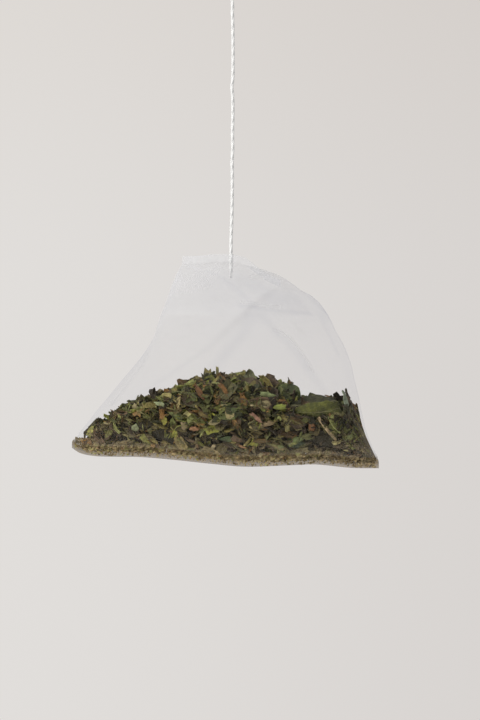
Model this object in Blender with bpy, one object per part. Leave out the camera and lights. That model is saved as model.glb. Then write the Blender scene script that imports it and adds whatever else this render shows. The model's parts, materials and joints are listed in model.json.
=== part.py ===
"""Pyramid tea bag of sheer gauze, filled with loose dried leaf and hung by its thread.

Metres, +Z up. The origin is where a hook or a finger holds the loop at the thread's
upper end, so the whole object hangs below it. +X runs along the bottom seam and +Y
along the top seam, which crosses the bottom seam at a right angle as on any bag
folded from one tube of gauze.
"""

import math
import random

import bmesh
import bpy
from mathutils import Matrix, Vector, noise
from mathutils.bvhtree import BVHTree
from mathutils.kdtree import KDTree

MM = 0.001

# The gauze: one tube of fabric, flattened and welded along X below and along Y above.
SEAM_LENGTH = 0.0640
BAG_HEIGHT = 0.0423
GAUZE_WALL = 0.00026
BOTTOM_SEAM_WIDTH = 0.0013
TOP_SEAM_WIDTH = 0.0016
RIDGE_RADIUS = 0.0034
LEVELS = 18
CREASE_LEVEL = 0.735
CREASE_RISE = 0.0004
CREASE_WIDTH = 0.022

# The thread, from its tail inside the bag to the knot of the hanging loop.
THREAD_DIAMETER = 0.0007
THREAD_OUTSIDE = 0.0515
THREAD_TAIL = 0.0046
THREAD_WOBBLE = 0.00022
LOOP_WIDTH = 0.0042
LOOP_LENGTH = 0.0085
LOOP_LEG_GAP = 0.0009
LEG_STEPS = 5
ARC_STEPS = 8
KNOT_RADIUS = 0.00105
KNOT_LENGTH = 0.0027
KNOT_WRAPS = 3

# The filling.
FIT_GAP = 0.0003
HEAP_SKIN = 0.0007
HEAP_FACET = 0.0013
FLAKE_SPACING = 0.0023
FLAKE_TILT = 0.55
FLAKE_STEP = 0.0006
LEAF_COUNT = 50
LEAF_SIZES = (0.0044, 0.0078)
LEAF_THICKNESS = 0.00035
# The leaf pieces that stand out: millimetres along and across the bag, length, width,
# degrees that the piece rises to the right, degrees that it lies back, and its finish
PLACED_LEAVES = (
    (18.0, -3.0, 9.8, 4.4, 8, 40, 0),
    (4.0, 0.0, 3.9, 2.4, 98, 12, 0),
    (8.1, 0.5, 3.8, 2.2, 115, 20, 2),
    (12.0, 0.0, 5.8, 3.4, -36, 30, 0),
    (23.6, 0.5, 3.4, 1.8, 80, 12, 0),
    (16.4, 1.5, 3.4, 2.2, 10, 40, 1),
    (-5.2, 0.5, 3.8, 2.8, 60, 25, 0),
    (0.6, 0.5, 4.6, 2.5, -8, 30, 1),
    (-10.0, 0.5, 3.8, 2.8, 55, 25, 0),
    (-15.6, 0.0, 3.4, 0.9, 165, 40, 2),
    (-21.0, 0.0, 3.6, 2.1, -40, 30, 2),
    (-24.6, 0.0, 2.6, 1.7, 30, 30, 1),
    (5.6, -4.5, 4.8, 2.2, -14, 30, 0),
    (4.8, -6.6, 2.8, 1.8, 80, 25, 2),
    (-0.4, -4.6, 3.4, 1.3, -60, 25, 2),
    (12.4, -6.4, 2.8, 1.5, -5, 30, 1),
    (-12.8, -5.2, 2.8, 1.7, -10, 30, 1),
)
FRONT_TURN = 18
LEAF_HIGHEST = 0.002
SEED = 7

EXIT_Z = -(LOOP_LENGTH + KNOT_LENGTH + THREAD_OUTSIDE)
SEAM_FOOT_Z = EXIT_Z - TOP_SEAM_WIDTH
SIDE_STEPS = 10
CORNER_STEPS = 4

# Each row is (share of the bag's height, millimetres), read with a smooth curve.
CENTRE_SHIFT = (
    (0, -1.7), (0.1, -1.5), (0.2, -0.7), (0.3, 0.5), (0.4, 1.6), (0.5, 2.8), (0.6, 3.4), (0.7, 3.3),
    (0.8, 3.3), (0.9, 2.8), (0.96, 1.9), (1, 0),
)
FULLNESS = (
    (0, 0), (0.1, 0.4), (0.3, 0.9), (0.5, 1.2), (0.6, 1.5), (0.7, 2.1), (0.8, 2.8), (0.9, 3.2),
    (0.96, 2.4), (1, 0),
)
FRONT_BULGE = ((0, 0), (0.12, 1.3), (0.3, 1.7), (0.5, 0.3), (0.7, 1.0), (0.735, 1.3), (0.79, -0.4), (1, 0))
BACK_BULGE = ((0, 0), (0.12, 1.3), (0.3, 1.7), (0.5, 0.2), (0.7, -0.9), (0.85, -0.3), (1, 0))
LEFT_BULGE = ((0, 0), (0.3, 0.4), (0.5, -1.2), (0.7, -1.4), (0.9, -0.4), (1, 0))
RIGHT_BULGE = ((0, 0), (0.3, 0.8), (0.5, 1.1), (0.7, 1.5), (0.88, 0.8), (1, 0))
# Each row is (share of the half seam from its middle, millimetres).
BOTTOM_CURVE = (
    (-1, 3.7), (-0.95, 2.7), (-0.85, 2.1), (-0.7, 2.0), (-0.55, 2.0), (-0.32, 1.5), (-0.08, 0.8),
    (0.15, 0.3), (0.45, 0.7), (0.6, 0.9), (0.83, 0.3), (1, 0.3),
)
TOP_DROOP = (
    (-1, -1.4), (-0.63, -0.9), (-0.32, -0.3), (0, 0), (0.18, -0.1), (0.3, -0.4), (0.59, -2.4),
    (0.85, -3.7), (1, -4.1),
)
TOP_BEND = ((-1, 0.9), (-0.5, 0.2), (0, 0), (0.5, 0.1), (1, 0.3))
DROOP_POWER = 2
# Each soft fold runs between two places on a wall, as (share of its half width, level), and
# has a half width as a share of the wall and a depth in millimetres, positive outwards.
FRONT_FOLDS = (
    ((-0.25, 0.70), (-0.10, 0.45), 0.16, -0.8),
    ((0.45, 0.66), (0.66, 0.44), 0.12, 0.6),
    ((-0.75, 0.72), (-0.85, 0.35), 0.10, -0.5),
    ((0.20, 0.97), (0.35, 0.76), 0.14, -0.6),
)
BACK_FOLDS = (
    ((0.30, 0.80), (0.10, 0.45), 0.18, -0.8),
    ((-0.50, 0.70), (-0.62, 0.42), 0.12, 0.6),
)
# Each row is (millimetres along X from the thread, millimetres below the thread's exit).
HEAP_TOP = (
    (-33, 39.3), (-29, 36.1), (-25, 33.5), (-20, 31.6), (-14, 29.5), (-9, 27.5), (-3, 26.1),
    (3, 25.7), (8, 26.5), (12, 29.1), (18, 30.7), (24, 30.3), (28, 34.4), (32, 40.9),
)
HEAP_TOP_LEVEL = 0.7
HEAP_SIDE_SLOPE = 0.24
HEAP_ROUGHNESS = 0.0007
HEAP_GRID = 0.0030


def clear_scene():
    for thing in list(bpy.data.objects):
        bpy.data.objects.remove(thing, do_unlink=True)


def finish(name, colour, roughness, alpha=1.0):
    """A Principled material of that colour."""
    material = bpy.data.materials.new(name)
    material.use_nodes = True
    shader = material.node_tree.nodes["Principled BSDF"]
    shader.inputs["Base Color"].default_value = (*colour, 1.0)
    shader.inputs["Roughness"].default_value = roughness
    shader.inputs["Metallic"].default_value = 0.0
    shader.inputs["Alpha"].default_value = alpha
    return material


def add_object(name, bm, material, smooth_angle=None):
    """Turns a bmesh into a scene object of that name."""
    mesh = bpy.data.meshes.new(name)
    bm.to_mesh(mesh)
    bm.free()
    mesh.materials.append(material)
    if smooth_angle is not None:
        mesh.shade_smooth()
        mesh.set_sharp_from_angle(angle=smooth_angle)
    thing = bpy.data.objects.new(name, mesh)
    bpy.context.scene.collection.objects.link(thing)
    return thing


def apply_booleans(thing):
    """Bakes an object's Boolean modifiers into its mesh."""
    bpy.context.view_layer.update()
    graph = bpy.context.evaluated_depsgraph_get()
    mesh = bpy.data.meshes.new_from_object(thing.evaluated_get(graph))
    thing.modifiers.clear()
    thing.data = mesh


def combine(thing, other, operation):
    """Applies one Boolean with another object, and removes that object."""
    modifier = thing.modifiers.new(operation.lower(), "BOOLEAN")
    modifier.operation = operation
    modifier.solver = "EXACT"
    modifier.object = other
    apply_booleans(thing)
    bpy.data.objects.remove(other, do_unlink=True)


def smooth_curve(rows, at):
    """The value at that place on a smooth curve through (place, value) rows."""
    places = [row[0] for row in rows]
    values = [row[1] for row in rows]
    at = min(max(at, places[0]), places[-1])
    last = len(rows) - 1
    low = max(i for i in range(last) if places[i] <= at)
    high = low + 1

    def slope(i):
        before, after = max(i - 1, 0), min(i + 1, last)
        return (values[after] - values[before]) / (places[after] - places[before])

    span = places[high] - places[low]
    s = (at - places[low]) / span
    return (
        values[low] * (2 * s**3 - 3 * s**2 + 1)
        + values[high] * (3 * s**2 - 2 * s**3)
        + span * slope(low) * (s**3 - 2 * s**2 + s)
        + span * slope(high) * (s**3 - s**2)
    )


def rounded_rectangle(half_x, half_y, radius):
    """Points round a rectangle with round corners, anticlockwise from the middle of -X."""
    radius = min(radius, 0.6 * half_x, 0.6 * half_y)
    flat_x, flat_y = half_x - radius, half_y - radius
    half_side = SIDE_STEPS // 2
    points = []
    for quarter, (sx, sy) in enumerate(((-1, -1), (1, -1), (1, 1), (-1, 1))):
        upright_first = quarter % 2 == 0
        for i in range(half_side):
            s = i / half_side
            if upright_first:
                points.append((sx * half_x, sy * flat_y * s))
            else:
                points.append((sx * flat_x * s, sy * half_y))
        start = math.pi + quarter * math.pi / 2
        for i in range(CORNER_STEPS + 1):
            turn = start + i / CORNER_STEPS * math.pi / 2
            points.append((sx * flat_x + radius * math.cos(turn), sy * flat_y + radius * math.sin(turn)))
        for i in range(1, half_side):
            s = 1 - i / half_side
            if upright_first:
                points.append((sx * flat_x * s, sy * half_y))
            else:
                points.append((sx * half_x, sy * flat_y * s))
    return points


def fold_depth(folds, across, level):
    """How far the soft folds push a wall outwards at a place on it."""
    depth = 0.0
    for (x0, low), (x1, high), width, height in folds:
        s = (level - low) / (high - low)
        off = (across - x0 - (x1 - x0) * s) / width
        ends = min(max(min(s, 1 - s) * 4 + 0.5, 0.0), 1.0)
        depth += height * ends * math.exp(-off * off)
    return depth * MM


def bag_ring(level, inset=0.0):
    """The bag's section at a share of its height, moved inwards by inset from its outer face."""
    half = SEAM_LENGTH / 2
    grow = GAUZE_WALL - inset
    half_x = half * (1 - level) + smooth_curve(FULLNESS, level) * MM + grow
    half_y = half * level + grow
    crease = CREASE_RISE * math.exp(-(((level - CREASE_LEVEL) / CREASE_WIDTH) ** 2))
    ring = []
    for x, y in rounded_rectangle(half_x, half_y, RIDGE_RADIUS):
        across, along = x / half_x, y / half_y
        side = RIGHT_BULGE if x > 0 else LEFT_BULGE
        face = BACK_BULGE if y > 0 else FRONT_BULGE
        bulge_x = smooth_curve(side, level) * MM + crease
        folds = BACK_FOLDS if y > 0 else FRONT_FOLDS
        bulge_y = smooth_curve(face, level) * MM + crease + fold_depth(folds, across, level)
        px = x + bulge_x * across * (1 - along**2) + smooth_curve(CENTRE_SHIFT, level) * MM
        py = y + bulge_y * along * (1 - across**2)
        foot = -BAG_HEIGHT + TOP_SEAM_WIDTH + smooth_curve(BOTTOM_CURVE, x / half) * MM + BOTTOM_SEAM_WIDTH
        droop = smooth_curve(TOP_DROOP, y / half) * MM * level**DROOP_POWER
        px += smooth_curve(TOP_BEND, y / half) * MM * level**DROOP_POWER
        ring.append(Vector((px, py, SEAM_FOOT_Z + foot * (1 - level) + droop)))
    return ring


def sleeve(point, size):
    """Spreads the top seam's two layers round the thread."""
    spread = size * math.exp(-((point.y / (1.6 * size)) ** 2))
    point.x += math.copysign(spread, point.x)
    return point


def skin(bm, rings):
    """Joins rings of equal length with quads, and returns the rings' vertices."""
    rows = [[bm.verts.new(p) for p in ring] for ring in rings]
    count = len(rows[0])
    for lower, upper in zip(rows, rows[1:]):
        for i in range(count):
            j = (i + 1) % count
            bm.faces.new((lower[i], lower[j], upper[j], upper[i]))
    return rows


def close_slit(bm, row, first):
    """Closes a flattened ring with faces between its two layers, from the end at index first."""
    count = len(row)
    ahead = [row[(first + i) % count] for i in range(count // 2 + 1)]
    back = [row[(first - i) % count] for i in range(count // 2 + 1)]
    end = SIDE_STEPS // 2 + CORNER_STEPS
    bm.faces.new([*ahead[: end + 1], *reversed(back[1 : end + 1])])
    for i in range(end, count // 2 - end):
        bm.faces.new((ahead[i], ahead[i + 1], back[i + 1], back[i]))
    bm.faces.new([*ahead[-end - 1 :], *reversed(back[-end - 1 : -1])])


def bag_solid(name, material, levels, inset=0.0, with_seams=False):
    """The bag's form as a closed solid, between its first and its last level."""
    rings = [bag_ring(level, inset) for level in levels]
    if with_seams:
        drop = Vector((0, 0, -BOTTOM_SEAM_WIDTH))
        rise = Vector((0, 0, TOP_SEAM_WIDTH))
        spread = THREAD_DIAMETER / 2 + 2 * FIT_GAP
        rings[-1] = [sleeve(p, spread) for p in rings[-1]]
        rings = [[p + drop for p in rings[0]], *rings, [p + rise for p in rings[-1]]]
    bm = bmesh.new()
    rows = skin(bm, rings)
    quarter = len(rows[0]) // 4
    close_slit(bm, rows[0], 0)
    close_slit(bm, rows[-1], quarter)
    bmesh.ops.recalc_face_normals(bm, faces=bm.faces)
    return add_object(name, bm, material, math.radians(50))


def levels_between(low, high):
    """The levels at which the bag's section is drawn, closer together over the crease."""
    levels = [i / LEVELS for i in range(LEVELS + 1)]
    levels += [CREASE_LEVEL + side * CREASE_WIDTH for side in (-1, 0, 1)]
    return [low, *sorted(level for level in levels if low < level < high), high]


def gauze_bag(material):
    """The welded bag: a thin wall all round, open only where the thread goes through its top seam."""
    margin = 2.2 * GAUZE_WALL / (SEAM_LENGTH / 2)
    levels = levels_between(margin, 1 - margin)
    bag = bag_solid("gauze_bag", material, [0, *levels, 1], with_seams=True)
    hollow = bag_solid("hollow", material, levels, inset=GAUZE_WALL)
    combine(bag, hollow, "DIFFERENCE")
    bm = bmesh.new()
    bmesh.ops.create_cone(
        bm,
        cap_ends=True,
        segments=16,
        radius1=THREAD_DIAMETER / 2 + FIT_GAP,
        radius2=THREAD_DIAMETER / 2 + FIT_GAP,
        depth=3 * TOP_SEAM_WIDTH,
        matrix=Matrix.Translation((0, 0, SEAM_FOOT_Z)),
    )
    combine(bag, add_object("thread_hole", bm, material), "DIFFERENCE")
    return bag


def thread_line():
    """The thread's middle line, from its tail inside the bag up to the knot."""
    low = EXIT_Z - THREAD_TAIL
    high = EXIT_Z + THREAD_OUTSIDE - FIT_GAP
    step = 2.5 * THREAD_DIAMETER
    count = math.ceil((high - low) / step)
    line = []
    for i in range(count + 1):
        z = low + (high - low) * i / count
        free = min(max((z - EXIT_Z) / 0.01, 0.0), 1.0) * min(max((high - z) / 0.01, 0.0), 1.0)
        sway = THREAD_WOBBLE * free
        turn = (z - low) / 0.0115
        line.append(Vector((sway * math.sin(2.3 * turn), sway * math.cos(1.7 * turn), z)))
    return line


def tube(name, line, diameter, material):
    """A round cord along a line of points."""
    curve = bpy.data.curves.new(name, "CURVE")
    curve.dimensions = "3D"
    curve.bevel_depth = diameter / 2
    curve.bevel_resolution = 2
    curve.use_fill_caps = True
    spline = curve.splines.new("POLY")
    spline.points.add(len(line) - 1)
    for point, place in zip(spline.points, line):
        point.co = (*place, 1.0)
    curve.materials.append(material)
    thing = bpy.data.objects.new(name, curve)
    bpy.context.scene.collection.objects.link(thing)
    return thing


def as_mesh(thing):
    """The same object with its curve turned into a mesh."""
    bpy.context.view_layer.update()
    graph = bpy.context.evaluated_depsgraph_get()
    mesh = bpy.data.meshes.new_from_object(thing.evaluated_get(graph))
    name = thing.name
    bpy.data.objects.remove(thing, do_unlink=True)
    bm = bmesh.new()
    bm.from_mesh(mesh)
    bmesh.ops.remove_doubles(bm, verts=bm.verts, dist=0.00001)
    bmesh.ops.recalc_face_normals(bm, faces=bm.faces)
    return add_object(name, bm, mesh.materials[0], math.radians(50))


def loop_line():
    """The loop's middle line: two legs that rise out of the knot and meet in a round top."""
    radius = THREAD_DIAMETER / 2
    reach = LOOP_WIDTH / 2 - radius
    foot = Vector((LOOP_LEG_GAP / 2, 0, -LOOP_LENGTH - 0.4 * KNOT_LENGTH))
    centre = Vector((0, 0, radius - reach))
    leg = []
    for i in range(LEG_STEPS):
        s = i / LEG_STEPS
        ease = s * s * (3 - 2 * s)
        leg.append(Vector((foot.x + (reach - foot.x) * ease, 0, foot.z + (centre.z - foot.z) * s)))
    arc = []
    for i in range(ARC_STEPS + 1):
        turn = math.pi * i / ARC_STEPS
        arc.append(centre + reach * Vector((math.cos(turn), 0, math.sin(turn))))
    mirrored = [Vector((-p.x, p.y, p.z)) for p in reversed(leg)]
    return leg + arc + mirrored


def wrapped_knot():
    """The knot as a barrel with a swell for each turn of the thread."""
    bm = bmesh.new()
    low = -LOOP_LENGTH - KNOT_LENGTH
    rows = KNOT_WRAPS * 5
    profile = [Vector((0, 0, low))]
    for i in range(rows + 1):
        s = i / rows
        swell = 0.80 + 0.20 * abs(math.sin(math.pi * KNOT_WRAPS * s))
        barrel = math.sin(math.pi * (0.14 + 0.72 * s))
        profile.append(Vector((KNOT_RADIUS * swell * barrel, 0, low + KNOT_LENGTH * (0.02 + 0.96 * s))))
    profile.append(Vector((0, 0, low + KNOT_LENGTH)))
    verts = [bm.verts.new(p) for p in profile]
    edges = [bm.edges.new(pair) for pair in zip(verts, verts[1:])]
    bmesh.ops.spin(
        bm,
        geom=verts + edges,
        cent=(0, 0, 0),
        axis=(0, 0, 1),
        angle=2 * math.pi,
        steps=12,
        use_merge=True,
    )
    bmesh.ops.remove_doubles(bm, verts=bm.verts, dist=0.00002)
    bmesh.ops.recalc_face_normals(bm, faces=bm.faces)
    return bm


def hanging_loop(material):
    """The thread's folded end: an open loop with a wrapped knot below it, as one piece."""
    loop = as_mesh(tube("loop_knot", loop_line(), THREAD_DIAMETER, material))
    combine(loop, add_object("knot", wrapped_knot(), material), "UNION")
    return loop


def heap_height(x, y):
    """The level of the heap's core at a place seen from above."""
    depth = smooth_curve(HEAP_TOP, x / MM) * MM
    rough = HEAP_ROUGHNESS * noise.noise(Vector((x, y, 0.0)) * 420)
    return EXIT_Z - depth - HEAP_SIDE_SLOPE * abs(y) + rough


def heap_core(material):
    """The packed middle of the filling, a little inside the gauze all round."""
    half_x, half_y = 0.56 * SEAM_LENGTH, 0.5 * SEAM_LENGTH
    bm = bmesh.new()
    bmesh.ops.create_grid(
        bm,
        x_segments=round(2 * half_x / HEAP_GRID),
        y_segments=round(2 * half_y / HEAP_GRID),
        size=0.5,
    )
    bmesh.ops.scale(bm, vec=(2 * half_x, 2 * half_y, 1), verts=bm.verts)
    for vert in bm.verts:
        vert.co.z = heap_height(vert.co.x, vert.co.y)
    floor = bmesh.ops.extrude_face_region(bm, geom=bm.faces[:])
    for item in floor["geom"]:
        if isinstance(item, bmesh.types.BMVert):
            item.co.z = EXIT_Z - 1.4 * BAG_HEIGHT
    bmesh.ops.recalc_face_normals(bm, faces=bm.faces)
    block = add_object("tea_heap", bm, material)
    inner = filling_space("heap_space", material, HEAP_SKIN)
    combine(block, inner, "INTERSECT")
    return block


def filling_space(name, material, extra=0.0):
    """The room inside the gauze, less the gap that the filling keeps to it."""
    inset = 2 * GAUZE_WALL + FIT_GAP + extra
    margin = 1.15 * inset / (SEAM_LENGTH / 2)
    return bag_solid(name, material, levels_between(margin, HEAP_TOP_LEVEL), inset=inset)


def leaf_rows(length, width, stations, rng):
    """A leaf piece's points: a tip, rows of rim, midrib and rim, and the other tip."""
    fold, curl, twist = rng.uniform(0.1, 0.5), rng.uniform(0.1, 0.6), rng.uniform(-0.3, 0.3)

    def place(x, y):
        return Vector((x, y, fold * abs(y) + curl * x * x / length + twist * x * y / length))

    rows = [[place(-length / 2, 0)]]
    for i in range(1, stations + 1):
        s = i / (stations + 1)
        x = length * (s - 0.5)
        half = width / 2 * math.sin(math.pi * s) ** 0.7
        row = []
        for side in (-1, 0, 1):
            shift = length * rng.uniform(-0.04, 0.04) * abs(side)
            row.append(place(x + shift, side * half * rng.uniform(0.8, 1.15)))
        rows.append(row)
    rows.append([place(length / 2, 0)])
    return rows


def strip(a, b):
    """The triangles between two neighbouring rows of a leaf piece."""
    if len(a) == 1:
        return [(a[0], b[0], b[1]), (a[0], b[1], b[2])]
    if len(b) == 1:
        return [(a[0], b[0], a[1]), (a[1], b[0], a[2])]
    return [(a[0], b[0], b[1]), (a[0], b[1], a[1]), (a[1], b[1], b[2]), (a[1], b[2], a[2])]


def leaf_mesh(length, width, thickness, stations, rng):
    """A curled leaf piece as a closed plate, folded along its midrib, with an uneven rim."""
    bm = bmesh.new()
    rows = leaf_rows(length, width, stations, rng)
    rims = []
    for lift in (0, thickness):
        made = [[bm.verts.new(p + Vector((0, 0, lift))) for p in row] for row in rows]
        for a, b in zip(made, made[1:]):
            for corners in strip(a, b):
                bm.faces.new(corners)
        rims.append([row[0] for row in made] + [row[-1] for row in reversed(made[1:-1])])
    for i in range(len(rims[0])):
        j = (i + 1) % len(rims[0])
        bm.faces.new((rims[0][i], rims[0][j], rims[1][j]))
        bm.faces.new((rims[0][i], rims[1][j], rims[1][i]))
    bmesh.ops.recalc_face_normals(bm, faces=bm.faces)
    return bm


def frame_on(normal, spin):
    """A rotation that lays +Z on a normal, turned by spin about it."""
    return normal.to_track_quat("Z", "Y").to_matrix() @ Matrix.Rotation(spin, 3, "Z")


def even_skin(thing):
    """Redraws a closed solid with small, even faces."""
    modifier = thing.modifiers.new("even_skin", "REMESH")
    modifier.mode = "VOXEL"
    modifier.voxel_size = HEAP_FACET
    bpy.context.view_layer.update()
    graph = bpy.context.evaluated_depsgraph_get()
    mesh = bpy.data.meshes.new_from_object(thing.evaluated_get(graph))
    thing.modifiers.clear()
    thing.data = mesh
    keep_largest_body(thing)


def keep_largest_body(thing):
    """Drops crumbs that a thin edge has left apart from the main body."""
    bm = bmesh.new()
    bm.from_mesh(thing.data)
    left, bodies = set(bm.verts), []
    while left:
        stack, body = [left.pop()], set()
        while stack:
            vert = stack.pop()
            body.add(vert)
            near = {edge.other_vert(vert) for edge in vert.link_edges} & left
            left -= near
            stack.extend(near)
        bodies.append(body)
    bodies.sort(key=len)
    crumbs = [vert for body in bodies[:-1] for vert in body]
    bmesh.ops.delete(bm, geom=crumbs, context="VERTS")
    bm.to_mesh(thing.data)
    bm.free()


def scattered_flakes(mesh, rng):
    """Flake centres over a mesh at about one flake's spacing, each with its tilt."""
    centres = [v.co.copy() for v in mesh.vertices]
    rng.shuffle(centres)
    kept = KDTree(len(centres))
    flakes = []
    for centre in centres:
        kept.balance()
        if flakes and kept.find(centre)[2] < FLAKE_SPACING:
            continue
        kept.insert(centre, len(flakes))
        tilt = Vector((rng.uniform(-1, 1), rng.uniform(-1, 1), rng.uniform(-1, 1))) * FLAKE_TILT
        flakes.append((centre, tilt, rng.uniform(-0.5, 0.5) * FLAKE_STEP))
    kept.balance()
    return kept, flakes


def tea_heap(material):
    """The crushed leaf as one body: a packed core whose surface is shingled with tilted flakes."""
    rng = random.Random(SEED)
    heap = heap_core(material)
    even_skin(heap)
    space = filling_space("flake_space", material)
    room = tree_of(space)
    kept, flakes = scattered_flakes(heap.data, rng)
    moved = []
    for vert in heap.data.vertices:
        centre, tilt, step = flakes[kept.find(vert.co)[1]]
        relief = step + tilt.dot(vert.co - centre)
        upward = 1 + 0.5 * max(vert.normal.z, 0)
        relief = min(max(relief, -FLAKE_STEP), FLAKE_STEP * upward)
        moved.append(keep_in(room, vert.co + vert.normal * relief))
    for vert, place in zip(heap.data.vertices, moved):
        vert.co = place
    heap.data.materials.append(material)
    bpy.data.objects.remove(space, do_unlink=True)
    return heap


def keep_in(room, point):
    """The point itself, or the nearest point just inside the room."""
    place, normal, _, _ = room.find_nearest(point)
    out = (point - place).dot(normal)
    return point - normal * (out + 0.00002) if out > 0 else point


def tree_of(thing):
    bpy.context.view_layer.update()
    return BVHTree.FromObject(thing, bpy.context.evaluated_depsgraph_get())


def tree_of_bmesh(bm, shift=0.0):
    bm.verts.index_update()
    moved = [v.co + Vector((0, 0, shift)) for v in bm.verts]
    return BVHTree.FromPolygons(moved, [[v.index for v in f.verts] for f in bm.faces])


def inside(tree, point):
    place, normal, _, _ = tree.find_nearest(point)
    return (point - place).dot(normal) < 0


def settle(bm, below):
    """Lowers a leaf until it lies one gap above what is below it. False if it can't lie there."""
    hits = [(v.co, tree.ray_cast(v.co, (0, 0, -1))[0]) for v in bm.verts for tree in below]
    drops = [co.z - hit.z for co, hit in hits if hit]
    if not drops:
        return False
    bmesh.ops.translate(bm, vec=(0, 0, FIT_GAP - min(drops)), verts=bm.verts)
    for _ in range(40):
        swept = [tree_of_bmesh(bm, -part * FIT_GAP) for part in (0, 0.5, 1)]
        if not any(step.overlap(tree) for step in swept for tree in below):
            return True
        bmesh.ops.translate(bm, vec=(0, 0, 0.0001), verts=bm.verts)
    return False


def lies_well(bm, room):
    """True for a leaf that is all inside the bag and not heaped up high above the crushed leaf."""
    if not all(inside(room, v.co) for v in bm.verts):
        return False
    middle = sum((v.co for v in bm.verts), Vector()) / len(bm.verts)
    return middle.z - heap_height(middle.x, middle.y) < LEAF_HIGHEST


def facing_front(spin, lean):
    """A turn that shows a leaf to the front: spin is its rise to the right, lean how far it lies back."""
    turn, spin, lean = math.radians(FRONT_TURN), math.radians(spin), math.radians(lean)
    right = Vector((math.cos(turn), math.sin(turn), 0))
    back = Vector((-math.sin(turn), math.cos(turn), 0))
    normal = Vector((0, 0, math.sin(lean))) - back * math.cos(lean)
    along = right * math.cos(spin) + normal.cross(right) * math.sin(spin)
    return Matrix((along, normal.cross(along), normal)).transposed()


def placed_leaves(pile, room, materials):
    """The leaf pieces that stand out, each settled on the heap at its own place."""
    rng = random.Random(SEED + 2)
    made = 0
    for x, y, length, width, spin, lean, finish_at in PLACED_LEAVES:
        for step in (0, 0.8, -0.8, 1.6, -1.6, 2.4):
            bm = leaf_mesh(length * MM, width * MM, LEAF_THICKNESS, 3, rng)
            start = Vector((x * MM, (y + step) * MM, EXIT_Z - 0.3 * BAG_HEIGHT))
            turn = facing_front(spin, lean).to_4x4()
            bmesh.ops.transform(bm, matrix=Matrix.Translation(start) @ turn, verts=bm.verts)
            if settle(bm, pile) and all(inside(room, v.co) for v in bm.verts):
                made += 1
                pile.append(tree_of_bmesh(bm))
                add_object(f"leaf_{made:02d}", bm, materials[finish_at])
                break
            bm.free()
    return made


def loose_leaves(heap, materials):
    """Whole leaf pieces that lie on the heap, each one its own solid."""
    rng = random.Random(SEED + 1)
    space = filling_space("leaf_space", materials[0])
    room = tree_of(space)
    pile = [tree_of(heap)]
    made = placed_leaves(pile, room, materials)
    golden = math.pi * (3 - math.sqrt(5))
    tries = list(range(700))
    rng.shuffle(tries)
    for i in tries:
        if made == LEAF_COUNT:
            break
        reach = math.sqrt((i + 0.5) / len(tries))
        x = 0.45 * SEAM_LENGTH * reach * math.cos(i * golden)
        y = 0.22 * SEAM_LENGTH * reach * math.sin(i * golden)
        length = rng.uniform(*LEAF_SIZES)
        bm = leaf_mesh(length, length * rng.uniform(0.42, 0.7), LEAF_THICKNESS, 3, rng)
        lean = Vector((rng.uniform(-0.6, 0.6), rng.uniform(-0.6, 0.6), 1)).normalized()
        turn = frame_on(lean, rng.uniform(0, 2 * math.pi)).to_4x4()
        start = Vector((x, y, EXIT_Z - 0.3 * BAG_HEIGHT))
        bmesh.ops.transform(bm, matrix=Matrix.Translation(start) @ turn, verts=bm.verts)
        if settle(bm, pile) and lies_well(bm, room):
            made += 1
            pile.append(tree_of_bmesh(bm))
            add_object(f"leaf_{made:02d}", bm, materials[made % len(materials)])
        else:
            bm.free()
    bpy.data.objects.remove(space, do_unlink=True)


def main():
    clear_scene()
    gauze = finish("gauze", (0.86, 0.86, 0.88), 0.45, alpha=0.3)
    cotton = finish("cotton", (0.90, 0.90, 0.88), 0.85)
    crushed = finish("crushed_leaf", (0.13, 0.13, 0.06), 0.85)
    leaf_finishes = [
        finish("green_leaf", (0.10, 0.15, 0.04), 0.8),
        finish("olive_leaf", (0.20, 0.20, 0.08), 0.8),
        finish("brown_leaf", (0.22, 0.11, 0.05), 0.8),
    ]
    gauze_bag(gauze)
    tube("thread", thread_line(), THREAD_DIAMETER, cotton)
    hanging_loop(cotton)
    heap = tea_heap(crushed)
    loose_leaves(heap, leaf_finishes)


main()
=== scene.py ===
"""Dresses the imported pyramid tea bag: sheer gauze, cotton thread, dried leaf and a pale stage."""

import json
import math
import random

import bmesh
import bpy
import numpy as np
from mathutils import Matrix, Vector, noise
from mathutils.bvhtree import BVHTree


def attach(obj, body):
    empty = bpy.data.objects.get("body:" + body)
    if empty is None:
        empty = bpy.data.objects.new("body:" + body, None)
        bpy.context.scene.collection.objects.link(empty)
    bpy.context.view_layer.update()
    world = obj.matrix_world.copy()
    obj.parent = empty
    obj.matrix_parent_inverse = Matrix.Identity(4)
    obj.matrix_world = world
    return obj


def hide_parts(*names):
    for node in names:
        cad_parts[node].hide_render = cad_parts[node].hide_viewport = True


bl_info = {
    "name": "Pyramid Tea Bag",
    "version": (1, 0, 0),
    "blender": (4, 5, 0),
    "location": "3D View > Sidebar > Tea Bag",
    "description": "Builds the gauze, thread, leaf and stage of a pyramid tea bag",
    "category": "Object",
}

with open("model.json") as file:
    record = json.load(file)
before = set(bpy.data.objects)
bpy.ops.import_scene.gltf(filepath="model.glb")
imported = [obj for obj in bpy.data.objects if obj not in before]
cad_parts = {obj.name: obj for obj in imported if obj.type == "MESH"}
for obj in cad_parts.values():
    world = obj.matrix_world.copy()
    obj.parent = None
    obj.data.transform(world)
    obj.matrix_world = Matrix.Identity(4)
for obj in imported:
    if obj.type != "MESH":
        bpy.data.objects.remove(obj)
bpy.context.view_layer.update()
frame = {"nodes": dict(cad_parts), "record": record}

MM = 0.001

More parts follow.
